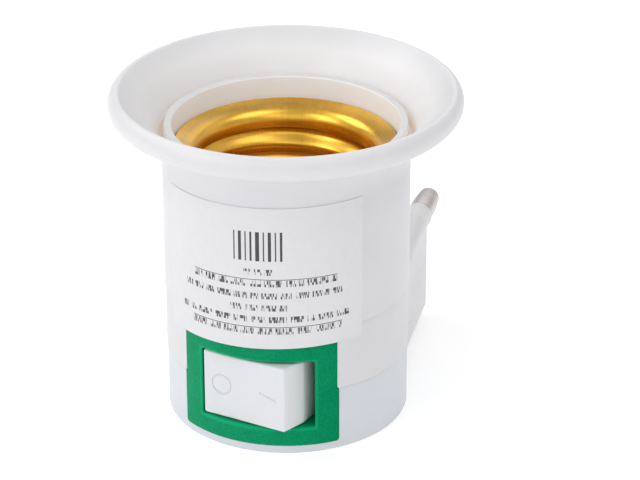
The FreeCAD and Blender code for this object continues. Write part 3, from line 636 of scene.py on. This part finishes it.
def collar_z(i, j):
    z = row_c[j]
    if z < 10.0:
        low = SEAM_LOW + corner_lift(col_c[i], COLLAR_EDGE, COLLAR_CORNER, COLLAR_R, False)
        z = low + (z - 9.3) * (10.0 - low) / 0.7
    return z


def collar_out(i, j):
    cut = {0: 0.10, 1: 0.04, len(row_c) - 1: 0.10, len(row_c) - 2: 0.03}.get(j, 0.0)
    return polar(COLLAR_R - cut, col_c[i], collar_z(i, j))


def collar_in(i, j):
    return polar(WALL_IN_R, col_c[i], collar_z(i, j))


def collar_keep(i, j):
    mid = 0.5 * (col_c[i] + (col_c[i + 1] if i + 1 < len(col_c) else 180.0))
    return not (abs(mid) < COLLAR_EDGE and row_c[j] < 16.74)


collar = Piece().add(sheet_shell(len(col_c), len(row_c), collar_out, collar_in, collar_keep, True))
collar.add(loft(block_rows(upper_section)))
collar.build("middle_band", [WHITE_COLLAR], "housing", ["middle_collar"], "white_plastic", 32)

# -------------------------------------------------------------------- base cup
BASE_EDGE, BASE_CORNER = 40.5, 0.45
angles = [i * 1.25 - 180.0 for i in range(288)]
near = window_angles(BASE_EDGE, BASE_CORNER, BASE_R, True)
angles = [a for a in angles if all(abs(abs(a) - n) > 0.3 for n in near)] + near + [-n for n in near]
col_b = merged(angles, 1e-4)
foot = arc(BASE_R - FOOT_R, FOOT_R, FOOT_R, -90, 0, 6)
LOW_TOP = BEZEL_Z0 + BASE_CORNER
row_b = [(r, z) for r, z in foot] + [(BASE_R, z) for z in lin(FOOT_R, LOW_TOP, 5)[1:]]
row_b += [(BASE_R, z) for z in lin(LOW_TOP, 9.18, 8)[1:]] + [(BASE_R - 0.03, 9.26), (BASE_R - 0.10, SEAM_LOW)]
JW = [j for j, (r, z) in enumerate(row_b) if abs(z - LOW_TOP) < 1e-6][0]


def base_z(i, j):
    z = row_b[j][1]
    if abs(col_b[i]) < BASE_EDGE + 1e-6 and FOOT_R < z <= LOW_TOP + 1e-6:
        top = BEZEL_Z0 + corner_lift(col_b[i], BASE_EDGE, BASE_CORNER, BASE_R, True)
        z = FOOT_R + (z - FOOT_R) * (top - FOOT_R) / (LOW_TOP - FOOT_R)
    return z


def base_out(i, j):
    return polar(row_b[j][0], col_b[i], base_z(i, j))


def base_in(i, j):
    return polar(WALL_IN_R, col_b[i], max(base_z(i, j), 1.0))


def base_keep(i, j):
    mid = 0.5 * (col_b[i] + (col_b[i + 1] if i + 1 < len(col_b) else 180.0))
    return not (abs(mid) < BASE_EDGE and j >= JW)


def foot_plate():
    """Underside with the two counterbored screw holes, closed by the floor above."""
    bm = bmesh.new()

    def circle(r, z, n, x=0.0, y=0.0, angs=None):
        if angs is not None:
            return [bm.verts.new(polar(r, a, z)) for a in angs]
        return [bm.verts.new((x + r * math.cos(2 * math.pi * i / n), y + r * math.sin(2 * math.pi * i / n), z)) for i in range(n)]

    def loop_edges(vs):
        return [bm.edges.new((vs[i], vs[(i + 1) % len(vs)])) for i in range(len(vs))]

    def band(a, b):
        for i in range(len(a)):
            j = (i + 1) % len(a)
            bm.faces.new((a[i], a[j], b[j], b[i]))

    rim_low = circle(BASE_R - FOOT_R, 0.0, 0, angs=col_b)
    rim_mid = circle(WALL_IN_R - 0.05, 0.9, 0, angs=col_b)
    rim_top = circle(WALL_IN_R - 0.05, 1.8, 0, angs=col_b)
    low_edges, top_edges = loop_edges(rim_low), loop_edges(rim_top)
    band(rim_low, rim_mid)
    band(rim_mid, rim_top)
    for s in (1, -1):
        a = circle(2.85, 0.0, 48, s * 11.6, 3.0)
        b = circle(2.70, 0.15, 48, s * 11.6, 3.0)
        c = circle(2.70, 1.75, 48, s * 11.6, 3.0)
        d = circle(1.5, 1.75, 48, s * 11.6, 3.0)
        e = circle(1.5, 1.8, 48, s * 11.6, 3.0)
        low_edges += loop_edges(a)
        top_edges += loop_edges(e)
        band(a, b)
        band(b, c)
        band(c, d)
        band(d, e)
    bmesh.ops.triangle_fill(bm, edges=low_edges, use_beauty=True)
    bmesh.ops.triangle_fill(bm, edges=top_edges, use_beauty=True)
    bm.verts.index_update()
    out = [tuple(v.co) for v in bm.verts], [tuple(v.index for v in f.verts) for f in bm.faces]
    bm.free()
    return out


base = Piece().add(sheet_shell(len(col_b), len(row_b), base_out, base_in, base_keep, True))
base.add(foot_plate())
base.add(loft(block_rows(lower_section)), 1)
for s in (1, -1):
    base.add(revolve([(1.5, 1.7), (3.3, 1.7), (3.3, 11.0), (1.5, 11.0)], 48, closed=True),
             place=Matrix.Translation((s * 11.6, 3.0, 0)))
base.build("base_body", [WHITE_BASE, WHITE_COLLAR], "housing", ["base_cup"], "white_plastic", 32)


# ---------------------------------------------------------------- switch frame
def opening_loop():
    """Opening outline (x, z) and its normals into the plate."""
    w, z0, z1, r = 7.98, SWITCH_Z - OPEN_Z, SWITCH_Z + OPEN_Z, 0.35
    pts = []
    runs = [(lin(-w + r, w - r, 40), z0, 0), (lin(z0 + r, z1 - r, 30), w, 1),
            (lin(w - r, -w + r, 40), z1, 0), (lin(z1 - r, z0 + r, 30), -w, 1)]
    corners = [(w - r, z0 + r, 270), (w - r, z1 - r, 0), (-w + r, z1 - r, 90), (-w + r, z0 + r, 180)]
    norms = [(0, -1), (1, 0), (0, 1), (-1, 0)]
    nrm = []
    for q in range(4):
        vals, other, axis = runs[q]
        for v in vals:
            pts.append((v, other) if axis == 0 else (other, v))
            nrm.append(norms[q])
        cx, cz, a0 = corners[q]
        for i in range(1, 6):
            a = math.radians(a0 + 90.0 * i / 6)
            pts.append((cx + r * math.cos(a), cz + r * math.sin(a)))
            nrm.append((math.cos(a), math.sin(a)))
    return pts, nrm


def plate_loop():
    """Plate outline (x, z), matched point by point to the opening."""
    xl = BEZEL_R * math.sin(math.radians(40.35))
    xh = BEZEL_R * math.sin(math.radians(39.35))
    z0, z1, r, zj = BEZEL_Z0, BEZEL_Z1, 0.42, SEAM_LOW - 0.05
    right = [(xl, z) for z in lin(z0 + r, zj, 14)] + [(xh, z) for z in lin(zj, z1 - 0.2, 15)]
    pts, nrm = [], []

    def put(run, n):
        for p in run:
            pts.append(p)
            nrm.append(n)

    def turn(cx, cz, rr, a0):
        for i in range(1, 6):
            a = math.radians(a0 + 90.0 * i / 6)
            pts.append((cx + rr * math.cos(a), cz + rr * math.sin(a)))
            nrm.append((math.cos(a), math.sin(a)))

    put([(x, z0) for x in lin(-xl + r, xl - r, 40)], (0, -1))
    turn(xl - r, z0 + r, r, 270)
    put(right, (1, 0))
    turn(xh - 0.2, z1 - 0.2, 0.2, 0)
    put([(x, z1) for x in lin(xh - 0.2, -xh + 0.2, 40)], (0, 1))
    turn(-xh + 0.2, z1 - 0.2, 0.2, 90)
    put([(-x, z) for x, z in reversed(right)], (-1, 0))
    turn(-xl + r, z0 + r, r, 180)
    return pts, nrm


def plate_rows():
    ip, inn = opening_loop()
    op, on = plate_loop()
    rf, re, depth = 0.45, 0.10, 1.45

    def at(x, z, d):
        return (x, -math.sqrt(BEZEL_R ** 2 - x * x) + d, z)

    rows = [[at(x, z, depth) for x, z in ip]]
    for i in range(9):
        a = math.radians(90.0 * i / 8)
        o, d = rf * (1 - math.cos(a)), rf * (1 - math.sin(a))
        rows.append([at(x + n[0] * o, z + n[1] * o, d) for (x, z), n in zip(ip, inn)])
    for t in lin(0.0, 1.0, 8)[1:]:
        row = []
        for (x, z), n, (u, w), m in zip(ip, inn, op, on):
            x0, z0 = x + n[0] * rf, z + n[1] * rf
            x1, z1 = u - m[0] * re, w - m[1] * re
            row.append(at(x0 + (x1 - x0) * t, z0 + (z1 - z0) * t, 0.0))
        rows.append(row)
    for i in range(1, 5):
        a = math.radians(90.0 * i / 4)
        o, d = re * (1 - math.sin(a)), re * (1 - math.cos(a))
        rows.append([at(u - m[0] * o, w - m[1] * o, d) for (u, w), m in zip(op, on)])
    rows.append([at(u, w, depth) for u, w in op])
    rows.append([at(0.5 * (x + u), 0.5 * (z + w), depth) for (x, z), (u, w) in zip(ip, op)])
    return rows


def plate_back(x):
    return -math.sqrt(BEZEL_R ** 2 - x * x) + 1.40


sw = Piece().add(ring_loft(plate_rows()))
wide = lin(-9.6, 9.6, 40)
for z0, z1 in ((SWITCH_Z - BOX_Z, SWITCH_Z - OPEN_Z), (SWITCH_Z + OPEN_Z, SWITCH_Z + BOX_Z)):
    sw.add(prism([(x, plate_back(x)) for x in wide] + [(9.6, -1.9), (-9.6, -1.9)], z0, z1))
for s in (1, -1):
    xs = lin(8.4, 9.6, 3)
    sw.add(prism([(s * x, plate_back(x)) for x in xs] + [(s * 9.6, -1.9), (s * 8.4, -1.9)], SWITCH_Z - BOX_Z, SWITCH_Z + BOX_Z))
sw.add(prism([(-9.6, -3.4), (9.6, -3.4), (9.6, -1.9), (-9.6, -1.9)], SWITCH_Z - BOX_Z, SWITCH_Z + BOX_Z))
sw.build("switch_bezel", [GREEN], "housing", ["switch_frame"], "green_plastic", 32)


# --------------------------------------------------------------- switch rocker
def rounded(points, radii, n):
    """Closed outline with its corners rounded; n steps a corner."""
    out = []
    m = len(points)
    for i in range(m):
        p, a, b = Vector(points[i]), Vector(points[i - 1]), Vector(points[(i + 1) % m])
        r = radii[i]
        da, db = (a - p).normalized(), (b - p).normalized()
        half = 0.5 * da.angle(db)
        run = r / math.tan(half)
        c = p + (da + db).normalized() * (r / math.sin(half))
        s, e = p + da * run - c, p + db * run - c
        a0, a1 = math.atan2(s.y, s.x), math.atan2(e.y, e.x)
        d = (a1 - a0 + math.pi) % (2 * math.pi) - math.pi
        for k in range(n + 1):
            t = a0 + d * k / n
            out.append((c.x + r * math.cos(t), c.y + r * math.sin(t), math.cos(t), math.sin(t)))
    return out


STROKE = math.radians(-15.8)   # lean of the stroke on the face


def rocker():
    f, h, zb, zt = 6.9, 6.27, SWITCH_Z - ROCKER_Z, SWITCH_Z + ROCKER_Z
    corner = rounded([(-h, -f), (h, -f), (7.35, -3.2), (7.35, 0.3), (-7.35, 0.3), (-7.35, -3.2)],
                     [0.32, 0.32, 0.8, 0.15, 0.15, 0.8], 6)
    # corner points in order, with a fine run of points along the face between the first two
    us = merged(lin(-5.85, 5.85, 24) + lin(-5.3, -1.7, 90) + lin(2.2, 5.2, 76), 0.012)
    line = corner[:7] + [(u, -f, 0.0, -1.0) for u in us] + corner[7:]
    zs = merged(lin(zb + 0.32, zt - 0.32, 22) + lin(7.3, 10.9, 90), 0.012)
    steps = []
    for i in range(8):
        a = math.radians(90.0 * i / 8)
        steps.append((zb + 0.32 - 0.32 * math.cos(a), 0.32 * (1 - math.sin(a))))
    steps += [(z, 0.0) for z in zs]
    for i in range(1, 9):
        a = math.radians(90.0 * i / 8)
        steps.append((zt - 0.32 + 0.32 * math.sin(a), 0.32 * (1 - math.cos(a))))

    def cut(u, z):
        """Depth of the engraved ring and stroke."""
        ring = abs(math.hypot(u + 3.46, z - 9.1) - 1.45)
        du, dz = u - 3.72, z - 8.94
        along = du * math.cos(STROKE) + dz * math.sin(STROKE)
        across = dz * math.cos(STROKE) - du * math.sin(STROKE)
        stroke = math.hypot(max(abs(along) - 1.15, 0.0), across)
        dot = math.hypot(abs(along) - 1.12, across) - 0.06
        return 0.14 * smooth01((0.15 - min(ring, stroke, dot)) / 0.06)

    rows = []
    for z, inset in steps:
        row = []
        for x, y, nx, ny in line:
            # the hidden back edge keeps its full width
            k = inset if y < 0.0 else 0.0
            px, py = x - nx * k, y - ny * k
            if abs(y + f) < 1e-6 and abs(ny + 1.0) < 1e-6:
                py += cut(x, z)
            row.append((px, py, z))
        rows.append(row)
    return loft(rows)


tilt = Matrix.Translation((0, PIVOT_Y, 0)) @ Matrix.Rotation(math.radians(-ROCKER_TILT), 4, "Z")
rk = Piece().add(rocker(), place=tilt)
for z0, z1 in ((SWITCH_Z - ROCKER_Z, SWITCH_Z - ROCKER_Z + 1.0), (SWITCH_Z + ROCKER_Z - 1.0, SWITCH_Z + ROCKER_Z)):
    rk.add(prism([(-4.2, -2.4), (4.2, -2.4), (1.7, 1.6), (-1.7, 1.6)], z0 + 0.02, z1 - 0.02), place=tilt)
for z0, z1 in ((SWITCH_Z - ROCKER_Z - 1.0, SWITCH_Z - ROCKER_Z + 0.5), (SWITCH_Z + ROCKER_Z - 0.5, SWITCH_Z + ROCKER_Z + 1.0)):
    rk.add(revolve([(0, z0), (0.85, z0), (1.0, z0 + 0.15), (1.0, z1 - 0.15), (0.85, z1), (0, z1)], 32), place=tilt)
stem = Matrix.Translation((0, 0, SWITCH_Z)) @ Matrix.Rotation(math.radians(-90), 4, "X")
rk.add(revolve([(1.5, -2.5), (2.2, -2.5), (2.2, 0.3), (2.1, 0.4), (1.5, 0.4)], 40, closed=True), place=tilt @ stem)
rk.build("rocker_cap", [WHITE_ROCKER], "rocker", ["switch_rocker"], "white_rocker", 32)


# ----------------------------------------------------------------- screw shell
def thread_fade(z, z_b):
    """Share of the thread below the rolled neck at height z_b."""
    return smooth01((z_b - 0.25 - z) / 1.0)


def shell_line():
    """Mid line of the sheet as (r, z, outward normal r, outward normal z)."""
    z_low, mean, rc = FLOOR_TOP + 0.02 + 0.2, 12.95, 0.9
    pts = [(9.0 + (mean - rc - 9.0) * i / 8.0, z_low, 0.0, -1.0) for i in range(8)]
    for i in range(9):
        a = math.radians(-90 + 90 * i / 8.0)
        pts.append((mean - rc + rc * math.cos(a), z_low + rc + rc * math.sin(a), math.cos(a), math.sin(a)))
    z_a = z_low + rc
    slope, bend, neck = math.radians(20), 1.8, mean - 0.55
    ang = math.pi / 2 - slope
    run = 15.40 - neck - bend * (1 - math.cos(ang))
    z_b = 39.15 - run * math.tan(slope) - bend * math.sin(ang)
    n = 112
    for i in range(1, n):
        z = z_a + (z_b - z_a) * i / n
        pts.append((neck + 0.55 * thread_fade(z, z_b), z, 1.0, 0.0))
    for i in range(25):
        t = ang * i / 24.0
        pts.append((neck + bend * (1 - math.cos(t)), z_b + bend * math.sin(t), math.cos(t), -math.sin(t)))
    r0, z0 = pts[-1][0], pts[-1][1]
    for i in range(1, 4):
        t = i / 3.0
        pts.append((r0 + (15.40 - r0) * t, z0 + (39.15 - z0) * t, math.cos(ang), -math.sin(ang)))
    return pts, z_a, z_b


def screw_shell():
    line, z_a, z_b = shell_line()
    rows, n = len(line), 240

    def skin(off):
        def at(i, j):
            th = 2 * math.pi * i / n
            r, z, nr, nz = line[j]
            amp = 0.55 * smooth01((z - z_a - 0.2) / 2.0) * thread_fade(z, z_b)
            rr = r + nr * off - amp * math.cos(2 * math.pi * z / 3.629 - th + 0.6)
            return (rr * math.cos(th), rr * math.sin(th), z + nz * off)
        return at

    return sheet_shell(n, rows, skin(0.2), skin(-0.2), lambda i, j: True, True)


Piece().add(screw_shell()).build("thread_shell", [GOLD], "housing", ["screw_shell"], "gold_shell", 40)

# ----------------------------------------------------------------- paper label
LABEL_A0, LABEL_A1, LABEL_Z0, LABEL_Z1, LABEL_IN, LABEL_OUT = -50.5, 52.3, 16.15, 37.05, 17.06, 17.12
LABEL_RISE_LOW, LABEL_RISE_TOP = 0.042, 0.033
rng = random.Random(7)
marks = []
flare = bez((UPPER_R, FLARE_Z), (UPPER_R, 39.5), (19.2, 42.6), (bx, bz), 80)


def label_rise(z):
    """Slope of a line across the label at height z, which is stuck on a little askew."""
    return LABEL_RISE_LOW + (LABEL_RISE_TOP - LABEL_RISE_LOW) * (z - LABEL_Z0) / (LABEL_Z1 - LABEL_Z0)


def label_point(r, a, z):
    """The paper follows the wall up to where the mouth begins to flare."""
    for p, q in zip(flare, flare[1:]):
        if p[1] <= z <= q[1]:
            r += p[0] + (q[0] - p[0]) * (z - p[1]) / (q[1] - p[1]) - UPPER_R
            break
    return polar(r, a, z)


def text_row(z, height, a0, a1, words, line=None):
    """A row of plain stroked bars of uneven length, optionally with a thin rule above it."""
    a = a0
    while a < a1 - 1.5:
        w = rng.uniform(*words)
        b = min(a + w, a1)
        marks.append((a, b, z, z + height, 2))
        a = b + rng.uniform(1.3, 1.9)
    if line:
        marks.append((a0, a1, z + height + line, z + height + line + 0.10, 1))


bars = (0.5, 1.2, 0.5, 0.8, 1.5, 0.5, 1.2, 0.5, 0.9)
for k, w in enumerate(bars):
    start = -8.6 + sum(bars[:k]) * 1.2 + k * 1.68
    marks.append((start, start + w * 1.2, 29.3, 33.6, 1))
text_row(27.2, 0.90, -3.9, 11.9, (2.5, 4.5))
text_row(25.5, 0.95, -30.7, 39.0, (5.0, 10.0), 0.06)
text_row(23.68, 0.90, -36.2, 44.6, (3.5, 9.0))
text_row(21.86, 0.90, -10.6, 16.2, (3.5, 7.0))
text_row(20.12, 0.90, -38.7, 44.9, (3.0, 9.0))
text_row(18.35, 0.95, -32.0, 41.3, (6.0, 12.0), 0.06)

edge_steps = (0.05, 0.2, 0.45, 0.8, 1.15, 1.34)
lab_a = merged(lin(LABEL_A0, LABEL_A1, 68) + [v for m in marks for v in m[:2]]
               + [LABEL_A0 + d for d in edge_steps] + [LABEL_A1 - d for d in edge_steps], 0.004)
lab_z = merged(lin(LABEL_Z0, LABEL_Z1, 16) + lin(35.6, LABEL_Z1, 16) + [v for m in marks for v in m[2:4]], 0.004)


def label_z(i, j):
    d = math.radians(min(lab_a[i] - LABEL_A0, LABEL_A1 - lab_a[i])) * LABEL_OUT
    shrink = 0.0
    if d < 0.4:
        shrink = 0.4 - math.sqrt(max(0.0, 0.16 - (0.4 - d) ** 2))
    mid, half = 0.5 * (LABEL_Z0 + LABEL_Z1), 0.5 * (LABEL_Z1 - LABEL_Z0)
    z = mid + (lab_z[j] - mid) * (half - shrink) / half
    return z + label_rise(z) * LABEL_OUT * math.sin(math.radians(lab_a[i]))


lab = sheet_shell(len(lab_a), len(lab_z), lambda i, j: label_point(LABEL_OUT, lab_a[i], label_z(i, j)),
                  lambda i, j: label_point(LABEL_IN, lab_a[i], label_z(i, j)), lambda i, j: True, False)
lab_m = []
for f in lab[1]:
    pts = [lab[0][q] for q in f]
    c = [sum(p[k] for p in pts) / len(pts) for k in range(3)]
    a = math.degrees(math.atan2(c[0], -c[1]))
    z = c[2] - label_rise(c[2]) * c[0]
    front = min(math.hypot(p[0], p[1]) for p in pts) > LABEL_OUT - 0.01
    kinds = [m[4] for m in marks if m[0] < a < m[1] and m[2] < z < m[3]]
    lab_m.append(kinds[0] if front and kinds else 0)
Piece().add((lab[0], lab[1], lab_m)).build("front_label", [PAPER, INK, ROWS], "housing", ["paper_label"], "label_paper", 32)

# ------------------------------------------------------------ pins and sleeves
for side, name in ((1, "right"), (-1, "left")):
    place = Matrix.Translation((side * PIN_X, PLUG_END, PIN_Z)) @ Matrix.Rotation(math.radians(-90), 4, "X")
    tip = [(0, -9.2), (1.45, -9.2), (1.45, -5.2), (2.6, -5.2), (2.6, -2.85), (1.45, -2.85), (1.45, 11.7), (1.78, 11.7), (1.84, 11.76)]
    tip += [(1.84, s) for s in lin(11.76, 15.2, 4)[1:]]
    tip += [(1.84 - 0.24 * t, 15.2 + 2.9 * t) for t in lin(0.0, 1.0, 4)[1:]]
    tip += bez((1.60, 18.1), (1.54, 18.75), (1.05, 19.0), (0.0, 19.0), 16)[1:]
    Piece().add(revolve(tip, 96), place=place).build("pin_" + name, [NICKEL], "housing", ["plug_pin_" + name], "nickel", 32)
    tube = [(1.48, -2.8), (2.0, -2.8), (2.0, 11.58), (1.97, 11.67), (1.90, 11.7), (1.48, 11.7)]
    Piece().add(revolve(tube, 96, closed=True), place=place).build("sleeve_" + name, [SLEEVE], "housing",
                                                                  ["pin_sleeve_" + name], "sleeve_plastic", 32)

# ----------------------------------------------------------------------- stage
me = bpy.data.meshes.new("floor")
me.from_pydata([(-3, -3, 0), (3, -3, 0), (3, 3, 0), (-3, 3, 0)], [], [(0, 1, 2, 3)])
floor = bpy.data.objects.new("floor", me)
scene.collection.objects.link(floor)
k = Mat("floor_white")
k.link(k.ramp(k.noise(30, 3, 0.6), (0.3, (0.93, 0.93, 0.93, 1)), (0.7, (0.95, 0.95, 0.95, 1))), "Base Color")
k.set(Roughness=0.9, Specular_IOR_Level=0.0, Emission_Color=(1, 1, 1, 1), Emission_Strength=0.20)
me.materials.append(k.m)

world = bpy.data.worlds.new("studio")
scene.world = world
world.use_nodes = True
world.node_tree.nodes["Background"].inputs["Color"].default_value = (1.0, 1.0, 1.0, 1.0)
world.node_tree.nodes["Background"].inputs["Strength"].default_value = 0.35


def soft_light(name, pos, target, size, power, colour=(1, 1, 1)):
    d = bpy.data.lights.new(name, "AREA")
    d.shape = "RECTANGLE"
    d.size, d.size_y = size
    d.energy = power
    d.color = colour
    o = bpy.data.objects.new(name, d)
    o.location = pos
    o.rotation_euler = (Vector(target) - Vector(pos)).to_track_quat("-Z", "Y").to_euler()
    scene.collection.objects.link(o)
    return o


LOOK_AT = (0, 0, 0.02)
soft_light("left_high", (-0.62, 0.10, 0.66), LOOK_AT, (0.5, 0.5), 2.36)
soft_light("left_front", (-0.60, -0.70, 0.35), LOOK_AT, (0.5, 0.5), 1.21)
soft_light("front", (0.10, -0.90, 0.55), LOOK_AT, (0.8, 0.6), 1.05)
soft_light("front_high_left", (-0.46, -0.60, 0.66), LOOK_AT, (0.38, 0.5), 1.58)
soft_light("front_high_right", (0.44, -0.60, 0.66), LOOK_AT, (0.34, 0.5), 0.55)
soft_light("overhead", (0.0, 0.0, 1.0), LOOK_AT, (1.6, 1.6), 1.47)
soft_light("right_high", (0.40, -0.05, 0.80), LOOK_AT, (0.5, 0.5), 1.62)
soft_light("right", (0.75, -0.20, 0.40), LOOK_AT, (0.5, 0.6), 0.28)
soft_light("back", (0.0, 0.80, 0.60), LOOK_AT, (0.8, 0.6), 1.30)
soft_light("right_back", (0.70, 0.50, 0.50), LOOK_AT, (0.6, 0.6), 0.53)

# ---------------------------------------------------------------------- camera
AZ, EL, DIST, ROLL, FOCAL, CX, CY = 16.0, 26.14, 405.8, 0.47, 2915.0, 287.0, 255.4
az, el, ro = math.radians(AZ), math.radians(EL), math.radians(ROLL)
back = Vector((math.sin(az) * math.cos(el), -math.cos(az) * math.cos(el), math.sin(el)))
right = Vector((math.cos(az), math.sin(az), 0))
up = back.cross(right)
right, up = math.cos(ro) * right - math.sin(ro) * up, math.sin(ro) * right + math.cos(ro) * up
cam = bpy.data.cameras.new("photo_camera")
cam.sensor_fit = "HORIZONTAL"
cam.sensor_width = 36.0
cam.lens = FOCAL * 36.0 / 640.0
cam.shift_x = (320.0 - CX) / 640.0
cam.shift_y = (CY - 240.0) / 640.0
cam.clip_start, cam.clip_end = 0.02, 20.0
eye = bpy.data.objects.new("photo_camera", cam)
eye.matrix_world = Matrix.Translation(Vector((0, 0, 0.022)) + back * DIST * MM) @ Matrix((right, up, back)).transposed().to_4x4()
scene.collection.objects.link(eye)
scene.camera = eye
scene.view_settings.view_transform = "Standard"
scene.view_settings.look = "None"

bpy.context.view_layer.update()
